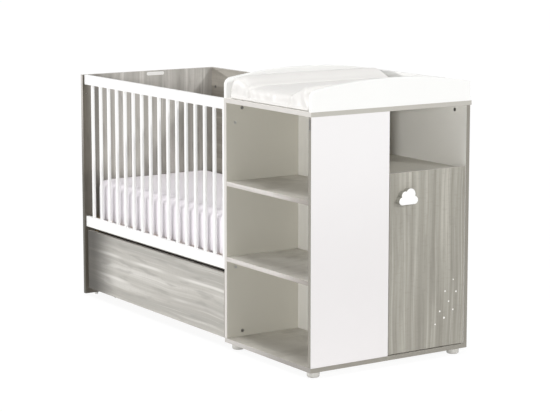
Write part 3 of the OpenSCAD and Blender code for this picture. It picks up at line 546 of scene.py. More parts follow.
# painted shade: the end panel's front edge darkens towards the floor
END_SHADED_BAND = EdgeBand("driftwood_edge_band_shaded", "cbc6c1", 0.42,
                    painted_shade=PaintedShade(Axis.Z, 0.5, 1.05, "605e54"))
GREY_FACE = PlainMelamine("grey_melamine", "d4d1c8", 0.48)
# painted shade: a darker copy of the grey melamine, for the niches' left wall
WALL_SHADED_FACE = PlainMelamine("grey_melamine_shaded", "c2bfb4", 0.48)
LIGHT_FACE = PlainMelamine("pale_melamine", "f0eee8", 0.48)
LIGHT_BAND = EdgeBand("pale_edge_band", "dad6d1", 0.4)
GREY_BAND = EdgeBand("grey_edge_band", "b5b1aa", 0.4)
# painted shade: a darker copy of the grey edging, for the chest back's edges and the white side
# panel's front edge
DEEP_SHADED_BAND = EdgeBand("deep_shaded_edge_band", "8c887f", 0.4)
# painted shade: a darker copy of the pale edging, for the top's side and back edges
TOP_SIDE_SHADED_BAND = EdgeBand("soft_shaded_edge_band", "bfbcb4", 0.4)
# painted shade: a darker copy of the grey edging, for the bottom board's right edge
LOW_SHADED_BAND = EdgeBand("low_shaded_edge_band", "918d84", 0.4)
# painted shade: the bottom board's front edge is a darker copy of the pale edging, darker still
# towards its right end
LOW_FRONT_SHADED_BAND = EdgeBand("low_front_shaded_edge_band", "c5c1bc", 0.4,
                          painted_shade=PaintedShade(Axis.X, RIGHT_END - 0.1, RIGHT_END - 0.55, "c7c5c3"))
SHADE_BAND = EdgeBand("shaded_edge_band", "68655d", 0.4)
# painted shade: the white side panel darkens a little towards the floor
WHITE_FACE = PlainMelamine("white_melamine", "f1efef", 0.4, relief=(0.08, 0.12 * MM),
                           painted_shade=PaintedShade(Axis.Z, 0.3, 1.02, "f3f2f2"))
RIM_FACE = PlainMelamine("bright_melamine", "f7f7f5", 0.4, relief=(0.08, 0.12 * MM))
# painted shade: grey for the knob's sides, where shade falls on them
KNOB_SIDE_SHADE = SprayedLacquer("knob_side_shade_lacquer", "8f8d84", 0.45)
WHITE_LACQUER = SprayedLacquer("white_lacquer", "f6f4f3", 0.38, coat=0.2, coat_roughness=0.3)
PINE = {axis: PlanedSoftwood(f"planed_pine_{axis.name.lower()}", "dcc195", 0.6, grain=axis)
        for axis in (Axis.X, Axis.Y)}
# painted shade: dark pine for the base rails, so that they show as the shade in the gap above
# the gate's bottom rail
PINE_PAINTED_SHADE = PlanedSoftwood("pine_painted_shade", "6f6960", 0.6, grain=Axis.X, line="565049")
FIBREBOARD = HardFibreboard("hard_fibreboard", "94806a", 0.55)
SHEET_COVER = WovenCover("woven_mattress_cover", "f7f2f7", 0.85, specular=0.25, sheen=0.2)
VINYL = FoiledVinyl("embossed_vinyl", "eceae7", 0.42, specular=0.4)
WHITE_PLASTIC = MouldedPlastic("white_polypropylene", "eeedea", 0.42)
DARK_PLASTIC = MouldedPlastic("dark_nylon", "3b3a39", 0.45)
FOOT_PLASTIC = MouldedPlastic("pale_grey_polypropylene", "cbc9c4", 0.42)
COVER_PLASTIC = MouldedPlastic("grey_abs", "5e5b58", 0.45)
TREAD = MouldedPlastic("soft_tread_rubber", "302f2e", 0.7)
STEEL = PlatedMetal("zinc_plated_steel", "c4c4c2", 0.34, metallic=1.0)
DIE_CAST = PlatedMetal("die_cast_zinc", "9c9b98", 0.42, metallic=1.0)
PRINT = Finish("white_print", "f4f2f0")


# --------------------------------------------------------------- mesh making
def piece_of(bm: bmesh.types.BMesh, name: str, finishes: Iterable[Finish],
             smooth_below: float = 35.0) -> bpy.types.Object:
    """Makes an object at the origin, whose place is in its mesh.

    Args:
        bm: The bmesh, which is freed.
        name: Name of the piece.
        finishes: Its finishes, in the order of the faces' material numbers.
        smooth_below: Angle in degrees under which faces shade into each other.

    Returns:
        The linked object.
    """
    mesh = bpy.data.meshes.new(name)
    bm.to_mesh(mesh)
    bm.free()
    for old in ("custom_normal", "sharp_face", "sharp_edge"):
        if old in mesh.attributes:
            mesh.attributes.remove(mesh.attributes[old])
    mesh.shade_smooth()
    mesh.set_sharp_from_angle(angle=math.radians(smooth_below))
    for finish in finishes:
        mesh.materials.append(finish.material())
    piece = bpy.data.objects.new(name, mesh)
    bpy.context.scene.collection.objects.link(piece)
    return piece


def modified(piece: bpy.types.Object, kind: str, **settings: Any) -> bpy.types.Object:
    """Runs one modifier on a piece and keeps its result as the mesh."""
    modifier = piece.modifiers.new(kind, kind)
    for key, value in settings.items():
        setattr(modifier, key, value)
    graph = bpy.context.evaluated_depsgraph_get()
    done = bpy.data.meshes.new_from_object(piece.evaluated_get(graph))
    old, name = piece.data, piece.data.name
    piece.modifiers.clear()
    piece.data = done
    bpy.data.meshes.remove(old)
    done.name = name
    return piece


def weighted(piece: bpy.types.Object) -> bpy.types.Object:
    """Lets the large faces rule the shading, so that only the eased edges turn."""
    return modified(piece, "WEIGHTED_NORMAL", keep_sharp=True, weight=80)


def merged(node: str) -> bmesh.types.BMesh:
    """Copies a CAD node's mesh, merged and with its flat faces joined up."""
    bm = bmesh.new()
    bm.from_mesh(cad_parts[node].data)
    bmesh.ops.remove_doubles(bm, verts=bm.verts, dist=0.01 * MM)
    bmesh.ops.dissolve_limit(bm, angle_limit=math.radians(0.5), verts=bm.verts, edges=bm.edges,
                             delimit={"NORMAL"})
    bm.normal_update()
    return bm


def belongs(piece: bpy.types.Object, body: str, slot: str, *nodes: str) -> None:
    """Puts a piece on its body, in the place of CAD nodes."""
    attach(piece, body)
    if nodes:
        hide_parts(*nodes)
    log.info("%s: %d faces on %s", piece.name, len(piece.data.polygons), body)


def refinish(node: str, finish: Finish) -> None:
    """Gives a CAD node that keeps its own mesh a made finish."""
    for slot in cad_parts[node].material_slots:
        slot.material = finish.material()
    log.info("%s keeps its CAD mesh in %s", node, finish.name)


@dataclass
class Shaped:
    """A hard piece copied from a CAD node, with eased edges and its finishes.

    Attributes:
        node: CAD node that it stands for.
        name: Name of the piece.
        face: Finish of its faces.
        thin: Axis of the board's thickness, which tells faces from edges.
        bands: Finishes by the way that a side looks, and under None that of
            every other edge.
        radius: Radius of the eased edges.
        sharp: Whether all sharp edges are eased, and not just its box's own.
        above: Height in metres that a sharp edge reaches to be eased.
        segments: Facets across a rounding.
    """

    node: str
    name: str
    face: Finish
    thin: Axis | None = None
    bands: dict[Way | None, Finish] = field(default_factory=dict)
    radius: float = 0.8 * MM
    sharp: bool = False
    above: float = -math.inf
    segments: int = 2

    def eases(self, edge: bmesh.types.BMEdge, box: tuple[Vector, Vector]) -> bool:
        """Tells whether an edge is rounded.

        Args:
            edge: Edge of the piece.
            box: Lowest and highest corners of its node.

        Returns:
            True for a sharp edge, or for one along the box's twelve edges.
        """
        if self.sharp:
            return (max(v.co.z for v in edge.verts) > self.above and len(edge.link_faces) == 2
                    and edge.calc_face_angle_signed(0.0) > math.radians(60))
        first, second = ({(i, end) for i in range(3) for end in (0, 1)
                          if abs(v.co[i] - box[end][i]) < 0.02 * MM} for v in edge.verts)
        return len({i for i, _ in first & second}) >= 2

    def build(self, body: str, slot: str) -> None:
        """Builds the piece on a body."""
        bm, box = merged(self.node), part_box(self.node)
        bmesh.ops.bevel(bm, geom=[e for e in bm.edges if self.eases(e, box)],
                        offset=self.radius, offset_type="OFFSET", segments=self.segments,
                        profile=0.5, affect="EDGES", clamp_overlap=True, loop_slide=False)
        bm.normal_update()
        finishes = [self.face] + list(dict.fromkeys(self.bands.values()))
        for f in bm.faces:
            way = tuple(round(c) for c in f.normal)
            edge = self.thin is not None and abs(f.normal[self.thin.value]) < 0.9
            rest = self.bands.get(None, self.face) if edge else self.face
            f.material_index = finishes.index(self.bands.get(way, rest))
        belongs(weighted(piece_of(bm, self.name, finishes)), body, slot, self.node)


def build_all(body: str, slot: str, *pieces: Shaped) -> None:
    """Builds pieces that share a body and a material slot."""
    for piece in pieces:
        piece.build(body, slot)


def turned(name: str, profile: Sequence[tuple[float, float]], places: Iterable[Vector],
           axis: Axis, finish: Finish, sides: int = 48) -> bpy.types.Object:
    """Turns a closed profile about an axis, once at each place.

    Args:
        name: Name of the piece.
        profile: Points (distance along the axis, radius) in metres, in order
            round a closed outline that keeps clear of the axis or touches it.
        places: Points where the profile's zero lies.
        axis: Direction of the turning axis.
        finish: Finish of the piece.
        sides: Facets round the axis.

    Returns:
        The piece, closed and with its faces outwards.
    """
    bm = bmesh.new()
    ways = [(axis.value + k) % 3 for k in range(3)]
    for place in places:
        rings = []
        for k in range(sides):
            turn = math.tau * k / sides
            rings.append([])
            for along, radius in profile:
                point = place.copy()
                for i, move in zip(ways, (along, radius * math.cos(turn),
                                          radius * math.sin(turn))):
                    point[i] += move
                rings[-1].append(bm.verts.new(point))
        for k in range(sides):
            for i in range(len(profile)):
                bm.faces.new((rings[k - 1][i - 1], rings[k - 1][i], rings[k][i],
                              rings[k][i - 1]))
    bmesh.ops.remove_doubles(bm, verts=bm.verts, dist=0.005 * MM)
    bmesh.ops.dissolve_degenerate(bm, edges=bm.edges, dist=0.001 * MM)
    bmesh.ops.recalc_face_normals(bm, faces=bm.faces)
    return piece_of(bm, name, [finish], 50)


# ------------------------------------------------------- geometry node trees
class Recipe(Graph):
    """A geometry node tree with named inputs that ends in plain mesh."""

    def __init__(self, name: str, **sizes: str) -> None:
        """Starts the tree.

        Args:
            name: Name of the tree.
            **sizes: Kind of socket to the names of the inputs of that kind.
        """
        super().__init__(bpy.data.node_groups.new(name, "GeometryNodeTree"))
        sockets = self.tree.interface
        for kind, names in {"Geometry": "Points", **sizes, "Material": "Material"}.items():
            for label in names.split(", "):
                sockets.new_socket(label, in_out="INPUT", socket_type=f"NodeSocket{kind}")
        sockets.new_socket("Mesh", in_out="OUTPUT", socket_type="NodeSocketGeometry")
        self.size = self.tree.nodes.new("NodeGroupInput").outputs

    def shape(self, kind: str, links: dict[str, Link], place: Link,
              cut_from: Link | None = None) -> Link:
        """Adds a mesh shape at a place, or cuts it out of another one.

        Args:
            kind: Cylinder or Cube.
            links: Its sizes.
            place: Where its middle lies.
            cut_from: The other one, if it is cut out.

        Returns:
            The shape, or what is left of the other one.
        """
        made = self.add("GeometryNodeTransform", {
            "Geometry": self.add(f"GeometryNodeMesh{kind}", links), "Translation": place})
        if cut_from is None:
            return made
        return self.add("GeometryNodeMeshBoolean", {"Mesh 1": cut_from, "Mesh 2": made},
                        operation="DIFFERENCE", solver="EXACT")

    def crossed(self, shape: Link) -> Link:
        """Cuts a cross recess out of a shape at its top."""
        for bar in ("Cross", "Turned cross"):
            shape = self.shape("Cube", {"Size": self.size[bar]}, self.size["Top"], shape)
        return shape

    def facing(self, shape: Link) -> Link:
        """Places a shape on every point, its Z along "face" and its X along "end"."""
        ways = [self.add("GeometryNodeInputNamedAttribute", {"Name": name},
                         data_type="FLOAT_VECTOR") for name in ("face", "end")]
        turn = self.add("FunctionNodeAxesToRotation",
                        {"Primary Axis": ways[0], "Secondary Axis": ways[1]},
                        primary_axis="Z", secondary_axis="X")
        return self.add("GeometryNodeInstanceOnPoints", {
            "Points": self.size["Points"], "Instance": shape, "Rotation": turn})

    def finish(self, placed: Link) -> "Recipe":
        """Ends the tree: real geometry with its material."""
        real = self.add("GeometryNodeRealizeInstances", {"Geometry": placed})
        dressed = self.add("GeometryNodeSetMaterial", {
            "Geometry": real, "Material": self.size["Material"]})
        self.add("NodeGroupOutput", {"Mesh": dressed})
        return self

    def grow(self, name: str, points: Sequence[Point], sizes: dict[str, Any],
             finish: Finish, smooth_below: float = 40.0) -> bpy.types.Object:
        """Runs the tree on points and keeps the result as a plain mesh piece.

        Args:
            name: Name of the piece.
            points: Each point's place, face direction and end direction.
            sizes: Input name to its value.
            finish: Finish of the piece.
            smooth_below: Angle under which its faces shade into each other.

        Returns:
            The piece.
        """
        seed = bpy.data.meshes.new(name + "_points")
        seed.from_pydata([p[0] for p in points], [], [])
        for k, label in ((1, "face"), (2, "end")):
            layer = seed.attributes.new(label, "FLOAT_VECTOR", "POINT")
            layer.data.foreach_set("vector", [c for p in points for c in p[k]])
        carrier = bpy.data.objects.new(name + "_carrier", seed)
        bpy.context.scene.collection.objects.link(carrier)
        modifier = carrier.modifiers.new("grow", "NODES")
        modifier.node_group = self.tree
        values = dict(sizes, Material=finish.material())
        for item in self.tree.interface.items_tree:
            if item.in_out == "INPUT" and item.name in values:
                modifier[item.identifier] = values[item.name]
        carrier.data.update()
        graph = bpy.context.evaluated_depsgraph_get()
        mesh = bpy.data.meshes.new_from_object(carrier.evaluated_get(graph))
        bm = bmesh.new()
        bm.from_mesh(mesh)
        bpy.data.objects.remove(carrier)
        for used in (seed, mesh):
            bpy.data.meshes.remove(used)
        bmesh.ops.remove_doubles(bm, verts=bm.verts, dist=0.002 * MM)
        bmesh.ops.recalc_face_normals(bm, faces=bm.faces)
        return piece_of(bm, name, [finish], smooth_below)


def bars_recipe() -> Recipe:
    """Makes the tree for a row of straight bars with rounded edges.

    Each point starts a bar, which runs along its "face" with its width along
    its "end". A fixed seed gives every bar a tone of its own.
    """
    recipe = Recipe("row of bars", Float="Width, Thickness, Edge radius", Vector="Run",
                    Int="Seed")
    size = recipe.size
    section = recipe.add("GeometryNodeCurvePrimitiveQuadrilateral", {
        "Width": size["Width"], "Height": size["Thickness"]}, mode="RECTANGLE")
    section = recipe.add("GeometryNodeFilletCurve", {
        "Curve": section, "Count": 4, "Radius": size["Edge radius"]}, mode="POLY")
    path = recipe.add("GeometryNodeCurvePrimitiveLine", {"End": size["Run"]}, mode="POINTS")
    path = recipe.add("GeometryNodeResampleCurve", {"Curve": path, "Count": 5}, mode="COUNT")
    bar = recipe.add("GeometryNodeCurveToMesh", {
        "Curve": path, "Profile Curve": section, "Fill Caps": True})
    tone = recipe.add("FunctionNodeRandomValue", {"Seed": size["Seed"]}, 1,
                      data_type="FLOAT")
    return recipe.finish(recipe.add("GeometryNodeStoreNamedAttribute", {
        "Geometry": recipe.facing(bar), "Name": "tone", "Value": tone},
        data_type="FLOAT", domain="INSTANCE"))


def screws_recipe() -> Recipe:
    """Makes the tree for screws and bolts with a round head and a cross recess.

    A point is where the head's underside meets the shank. The shank runs
    against "face", and its thread is drawn as rings twice per pitch.
    """
    recipe = Recipe("screws", Float="Shank radius, Groove, Head radius, Head height",
                    Vector="Tip, Root, Head middle, Top, Cross, Turned cross", Int="Rings")
    size = recipe.size
    circle = recipe.add("GeometryNodeCurvePrimitiveCircle", {"Resolution": 16, "Radius": 1.0},
                        mode="RADIUS")
    path = recipe.add("GeometryNodeCurvePrimitiveLine", {
        "Start": size["Tip"], "End": size["Root"]}, mode="POINTS")
    path = recipe.add("GeometryNodeResampleCurve", {"Curve": path, "Count": size["Rings"]},
                      mode="COUNT")
    odd = recipe.add("ShaderNodeMath", {0: recipe.add("GeometryNodeInputIndex"), 1: 2.0},
                     operation="MODULO")
    scale = recipe.add("ShaderNodeMath", {0: odd, 1: size["Groove"], 2: size["Shank radius"]},
                       operation="MULTIPLY_ADD")
    shank = recipe.add("GeometryNodeCurveToMesh", {
        "Curve": path, "Profile Curve": circle, "Scale": scale, "Fill Caps": True})
    head = recipe.crossed(recipe.shape("Cylinder", {
        "Vertices": 24, "Radius": size["Head radius"], "Depth": size["Head height"]},
        size["Head middle"]))
    joined = recipe.add("GeometryNodeJoinGeometry", {0: [head, shank]})
    return recipe.finish(recipe.facing(joined))


def cams_recipe() -> Recipe:
    """Makes the tree for cam locks: a disc with a raised rim, a cross and an arrow.

    A point is the middle of the disc's visible face, which looks along
    "face", and the arrow points along "end", to the bolt.
    """
    recipe = Recipe("cam locks", Float="Radius, Depth, Dish radius, Rim, Arrow radius, "
                    "Arrow depth", Vector="Middle, Arrow, Top, Cross, Turned cross")
    size = recipe.size
    disc = recipe.shape("Cylinder", {"Vertices": 32, "Radius": size["Radius"],
                                     "Depth": size["Depth"]}, size["Middle"])
    disc = recipe.shape("Cylinder", {"Vertices": 32, "Radius": size["Dish radius"],
                                     "Depth": size["Rim"]}, size["Top"], disc)
    disc = recipe.shape("Cylinder", {"Vertices": 3, "Radius": size["Arrow radius"],
                                     "Depth": size["Arrow depth"]}, size["Arrow"], disc)
    return recipe.finish(recipe.facing(recipe.crossed(disc)))


def dots_recipe() -> Recipe:
    """Makes the tree for flat printed dots, whose diameter is a random share of the largest."""
    recipe = Recipe("printed dots", Float="Radius, Depth", Int="Seed")
    size = recipe.size
    dot = recipe.add("GeometryNodeMeshCylinder", {
        "Vertices": 20, "Radius": size["Radius"], "Depth": size["Depth"]})
    share = recipe.add("FunctionNodeRandomValue", {2: 0.45, 3: 1.0, "Seed": size["Seed"]}, 1,
                       data_type="FLOAT")
    flat = recipe.add("ShaderNodeCombineXYZ", {0: share, 1: share, 2: 1.0})
    return recipe.finish(recipe.add("GeometryNodeScaleInstances", {
        "Instances": recipe.facing(dot), "Scale": flat}))


# ------------------------------------------------------------------ hardware
def solids(node: str) -> list[tuple[Vector, Vector]]:
    """Returns the lowest and highest corners of each solid of a CAD node."""
    bm = merged(node)
    left, found = set(bm.verts), []
    while left:
        part = [left.pop()]
        for v in part:
            near = {e.other_vert(v) for e in v.link_edges} & left
            left -= near
            part += near
        found.append(tuple(Vector([end(v.co[i] for v in part) for i in range(3)])
                           for end in (min, max)))
    bm.free()
    return sorted(found, key=lambda box: tuple(round(c, 4) for c in box[0]))


def cam_places(node: str) -> list[Point]:
    """Finds each cam lock's visible face, and the way to its bolt, from its solid.

    Args:
        node: CAD node that holds the cam locks.

    Returns:
        The middle of each face, the way it looks and the way its bolt runs.
    """
    side_low, side_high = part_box("chest_side")
    panel_low, panel_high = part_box("back_panel")
    divider_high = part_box("chest_divider")[1]
    places = []
    for low, high in solids(node):
        middle = (low + high) / 2
        flat = min(range(3), key=lambda i: (high - low)[i])
        shown = side_high.x if flat == 0 else divider_high.y
        face, spot = Vector(), middle.copy()
        face[flat] = 1.0 if abs(high[flat] - shown) < 2 * MM else -1.0
        spot[flat] = high[flat] if face[flat] > 0 else low[flat]
        end = Vector()
        if middle.x < side_low.x:
            end.x = -1 if middle.x < (panel_low.x + panel_high.x) / 2 else 1
        else:
            end.z = 1 if middle.z > (side_low.z + side_high.z) / 2 else -1
        places.append((spot, face, end))
    return places


@dataclass
class Hardware:
    """The trees for what repeats, made once and shared by the sub-assemblies.

    Attributes:
        cam: Diameter of the cam locks.
        rim: Width of a cam lock's raised rim.
        thread: Pitch at which threads are drawn.
    """

    cam: float = 15 * MM
    rim: float = 0.8 * MM
    thread: float = 2.2 * MM
    bars: Recipe = field(default_factory=bars_recipe)
    screws: Recipe = field(default_factory=screws_recipe)
    cams: Recipe = field(default_factory=cams_recipe)
    dots: Recipe = field(default_factory=dots_recipe)

    def cross(self, arm: float, web: float, tall: float) -> dict[str, Sequence[float]]:
        """Gives the two bars of a cross recess, by arm's length, web's width and height."""
        return {"Cross": (arm, web, tall), "Turned cross": (web, arm, tall)}

    def lay_bars(self, node: str, name: str, slot: str, finish: Finish, count: int,
                 width: float, edge: float, seed: int, run: Axis = Axis.Z) -> None:
        """Grows a row of bars along X in the place of a CAD node.

        Args:
            node: CAD node that they stand for.
            name: Name of the piece.
            slot: Material slot of the record; not used.
            finish: Finish of the bars.
            count: How many there are.
            width: Width of a bar in metres.
            edge: Radius of its edges.
            seed: Seed of the bars' tones.
            run: Direction in which they run.
        """
        low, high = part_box(node)
        size, start, face = high - low, (low + high) / 2, Vector()
        start[run.value] = low[run.value]
        face[run.value] = 1
        points = []
        for i in range(count):
            start.x = low.x + width / 2 + i * (size.x - width) / (count - 1)
            points.append((start.copy(), face, Vector(RIGHT)))
        thickness = size.y if run is Axis.Z else size.z
        belongs(self.bars.grow(name, points, {
            "Width": width, "Thickness": thickness, "Run": (0.0, 0.0, size[run.value]),
            "Edge radius": edge, "Seed": seed}, finish), "frame", slot, node)

    def lock(self, node: str, name: str, body: str, points: Sequence[Point],
             deep: float) -> None:
        """Grows cam locks in the place of a CAD node.

        Args:
            node: CAD node that they stand for.
            name: Name of the piece.
            body: Body that they ride on.
            points: Middle of each visible face, the way it looks and the way to its bolt.
            deep: Their depth in metres.
        """
        radius = self.cam / 2
        belongs(self.cams.grow(name, points, {
            "Radius": radius, "Depth": deep, "Middle": (0.0, 0.0, -deep / 2),
            "Dish radius": radius - self.rim, "Rim": self.rim,
            "Arrow radius": 1.2 * self.rim, "Arrow depth": 2.4 * self.rim,
            "Arrow": (0.66 * radius, 0.0, 0.0),
            **self.cross(0.46 * self.cam, 0.12 * self.cam, 0.8 * deep)}, DIE_CAST, 30),
            body, "zinc", node)

    def fasten(self, node: str, body: str, way: Way, sizes: tuple[float, float, float],
               proud: float = 0.0, turn_at: float = math.inf) -> None:
        """Grows screws or bolts in the place of a CAD node, one for each of its solids.

        Args:
            node: CAD node that they stand for.
            body: Body that they ride on.
            way: Way that their heads look.
            sizes: Shank diameter, head diameter and head height in millimetres.
            proud: How far the heads stand out of the CAD solids' ends, in metres.
            turn_at: Place along X past which the heads look the other way.
        """
        shank, head, height = (size * MM for size in sizes)
        points, length = [], 0.0
        for low, high in solids(node):
            middle = (low + high) / 2
            face = Vector(way) if middle.x < turn_at else -Vector(way)
            reach = abs((high - low).dot(face))
            length = reach - height + proud
            points.append((middle + face * (reach / 2 + proud - height), face,
                           Vector((face.y, face.z, face.x))))
        arm = 0.6 * head
        belongs(self.screws.grow(f"{node}_set", points, {
            "Shank radius": shank / 2, "Groove": -0.12 * shank, "Head radius": head / 2,
            "Head height": height, "Tip": (0.0, 0.0, -length), "Root": (0.0, 0.0, height / 2),
            "Head middle": (0.0, 0.0, height / 2), "Top": (0.0, 0.0, height),
            "Rings": 2 * round(length / self.thread) + 1,
            **self.cross(arm, 0.24 * arm, 1.1 * height)}, STEEL), body, "steel", node)


# ----------------------------------------------------------------- soft work
@dataclass
class Blown:
    """How a closed cover is blown up as cloth and held to its space.

    Attributes:
        pressure: Air pressure inside, in the cloth solver's own unit.
        cap: Farthest that a point may move from the cut shape.
        frames: Frames of the simulation.
    """

    pressure: float
    cap: float
    frames: int = 20

    def run(self, piece: bpy.types.Object, held_below: float | None = None) -> None:
        """Blows the piece up and keeps the capped result in its mesh.

        Args:
            piece: Closed mesh at its place.
            held_below: Height under which its points are pinned, if any are.
        """
        start = [v.co.copy() for v in piece.data.vertices]
        cloth = piece.modifiers.new("cover", "CLOTH")
        settings = cloth.settings
        settings.mass = 0.3
        settings.tension_stiffness = settings.compression_stiffness = 15
        settings.shear_stiffness = 5
        settings.bending_stiffness = 0.5
        settings.use_pressure = True
        settings.uniform_pressure_force = self.pressure
        settings.effector_weights.gravity = 0
        if held_below is not None:
            group = piece.vertex_groups.new(name="held")
            group.add([v.index for v in piece.data.vertices if v.co.z < held_below], 1.0,
                      "REPLACE")
            settings.vertex_group_mass = "held"
        cloth.collision_settings.use_collision = False
        scene = bpy.context.scene
        scene.frame_start, scene.frame_end = 1, self.frames
        cloth.point_cache.frame_start, cloth.point_cache.frame_end = 1, self.frames
        for number in range(1, self.frames + 1):
            scene.frame_set(number)
        graph = bpy.context.evaluated_depsgraph_get()
        blown = [v.co.copy() for v in piece.evaluated_get(graph).data.vertices]
        piece.modifiers.clear()
        piece.vertex_groups.clear()
        for v, rest, moved in zip(piece.data.vertices, start, blown):
            move = moved - rest
            if move.length > self.cap:
                move = move.normalized() * self.cap
            v.co = rest + move
        scene.frame_set(1)


def keep_within(piece: bpy.types.Object, low: Vector, high: Vector) -> None:
    """Presses every point of a piece back into the space between two corners."""
    for v in piece.data.vertices:
        v.co = Vector([min(max(v.co[i], low[i]), high[i]) for i in range(3)])


@dataclass
class Mattress:
    """The mattress: a foam core in a smooth woven cover.

    Attributes:
        radius: Radius of its upper and upright edges.
        foot: Radius of its lower edges.
        swell: Room that the cut leaves at each side for the cover to swell.
        cell: Size of a mesh cell.
        crown: How far the middle of the upper face stands above its edges.
    """

    radius: float = 34 * MM
    foot: float = 3 * MM
    swell: float = 2 * MM
    cell: float = 11 * MM
    crown: float = 6 * MM
    blown: Blown = field(default_factory=lambda: Blown(5.0, 5 * MM))

    def build(self) -> None:
        """Cuts the mattress and blows it up."""
        low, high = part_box("mattress")
        inset = Vector((self.swell, self.swell, 0))
        bm = self.cut(low + inset, high - inset - Vector((0, 0, self.crown)))
        piece = piece_of(bm, "mattress_cushion", [SHEET_COVER], 180)
        self.blown.run(piece)
        modified(piece, "SUBSURF", levels=1, render_levels=1)
        keep_within(piece, low, high)
        belongs(piece, "frame", "mattress_cover", "mattress")

    def cut(self, low: Vector, high: Vector) -> bmesh.types.BMesh:
        """Makes an evenly meshed block whose edges and corners are all round.

        Args:
            low: Its lowest corner.
            high: Its highest corner, without the crown.

        Returns:
            The closed bmesh.
        """
        counts = [round(side / self.cell) for side in high - low]
        bm = bmesh.new()
        made: dict[tuple[int, ...], bmesh.types.BMVert] = {}
        for axis in range(3):
            u, v = (axis + 1) % 3, (axis + 2) % 3
            for side in (0, counts[axis]):
                for i in range(counts[u]):
                    for j in range(counts[v]):
                        corners = []
                        for a, b in ((0, 0), (1, 0), (1, 1), (0, 1)):
                            cell = [0, 0, 0]
                            cell[axis], cell[u], cell[v] = side, i + a, j + b
                            key = tuple(cell)
                            if key not in made:
                                made[key] = bm.verts.new(self.rounded(key, counts, low, high))
                            corners.append(made[key])
                        bm.faces.new(corners if side else corners[::-1])
        bmesh.ops.recalc_face_normals(bm, faces=bm.faces)
        return bm

    def rounded(self, cell: Sequence[int], counts: Sequence[int], low: Vector, high: Vector
                ) -> Vector:
        """Finds where a mesh point of the block's skin lies.

        Args:
            cell: Its number along each axis.
            counts: Number of cells along each axis.
            low: Lowest corner of the block.
            high: Highest corner of the block.

        Returns:
            The point, in metres.
        """
        size = high - low
        at = Vector([low[i] + size[i] * cell[i] / counts[i] for i in range(3)])
        core = Vector([min(max(at[i], low[i] + self.radius), high[i] - self.radius)
                       for i in range(3)])
        out = (at - core).normalized()
        at = core + out * self.radius if out.length else at
        side = out.xy.length
        if out.z < -1e-6 and side > 1e-6:
            around = Vector((out.x / side, out.y / side, 0))
            at = core + around * (self.radius - self.foot * (1 - side))
            at.z = low.z + self.foot * (1 + out.z)
        if cell[2] == counts[2]:
            share = [max(0.0, 1 - (2 * (at[i] - low[i]) / size[i] - 1) ** 4) for i in (0, 1)]
            at.z += self.crown * share[0] * share[1]
        return at


# ------------------------------------------------------------ sub-assemblies
@dataclass
class Crib:
    """The crib: end panel, back panel, gate with its slats and post, bed base.

    Attributes:
        rail_edge: Radius of the gate's edges.
        base_edge: Radius of the bed base's edges.
    """

    rail_edge: float = 2.4 * MM
    base_edge: float = 1.5 * MM

    def build(self, hardware: Hardware) -> None:
        """Builds every piece of the crib but its mattress."""
        # the end panel's front edge and inner face and the back panel's décor carry painted
        # shade
        build_all("frame", "wood_decor",
                  Shaped("end_panel", "end_panel_board", END_DECOR, Axis.X,
                         {FRONT: END_SHADED_BAND, RIGHT: END_INNER_SHADED, None: DECOR_BAND}),
                  Shaped("back_panel", "back_panel_board", BACK_DECOR_SHADED, Axis.Y,
                         {None: DECOR_BAND}))
        build_all("frame", "white_lacquer", *(
            Shaped(node, f"{node}_bar", WHITE_LACQUER, radius=self.rail_edge, segments=3)
            for node in ("gate_top_rail", "gate_bottom_rail", "gate_post")))
        hardware.lay_bars("gate_slats", "gate_slat_row", "white_lacquer", WHITE_LACQUER,
                          15, 16 * MM, 3 * MM, 3)
        self.build_glides()
        Shaped("end_panel_strip", "end_panel_strip_cap", WHITE_PLASTIC, radius=0.35 * MM,
               sharp=True).build("frame", "white_plastic")
        for node, way in (("gate_bolts", (-1, 0, 0)), ("post_bolts", RIGHT)):
            hardware.fasten(node, "frame", way, (6, 14, 3))
        refinish("gate_barrel_nuts", STEEL)
        refinish("gate_dowels", PINE[Axis.X])
        self.build_base(hardware)

    def build_glides(self) -> None:
        """Turns the two nail-on glides under the end panel."""
        low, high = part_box("end_panel_glides")
        r = (high.x - low.x) / 2
        profile = [(0, 0), (0, r - 3 * MM), (1 * MM, r - 1 * MM), (3 * MM, r),
                   (8 * MM, r), (high.z, r - 2 * MM), (high.z, 0)]
        places = [Vector((low.x + r, y, 0)) for y in (low.y + r, high.y - r)]
        belongs(turned("end_panel_glide_pair", profile, places, Axis.Z, WHITE_PLASTIC, 32),
                "frame", "white_plastic", "end_panel_glides")

    def build_base(self, hardware: Hardware) -> None:
        """Builds rails, cleats, their screws and the base slats."""
        # the rails are dark pine as painted shade
        build_all("frame", "plain_wood", *(
            Shaped(node, f"{node}_bar", PINE_PAINTED_SHADE, radius=self.base_edge)
            for node in ("base_rail_front", "base_rail_back")),
            Shaped("base_cleats", "base_cleat_pair", PINE[Axis.Y], radius=self.base_edge,
                   sharp=True))
        hardware.lay_bars("base_slats", "base_slat_row", "plain_wood", PINE[Axis.Y],
                          12, 60 * MM, 2 * MM, 8, Axis.Y)
        low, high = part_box("base_cleats")
        hardware.fasten("cleat_screws", "frame", RIGHT, (5, 9, 2.2), 0.8 * MM,
                        (low.x + high.x) / 2)


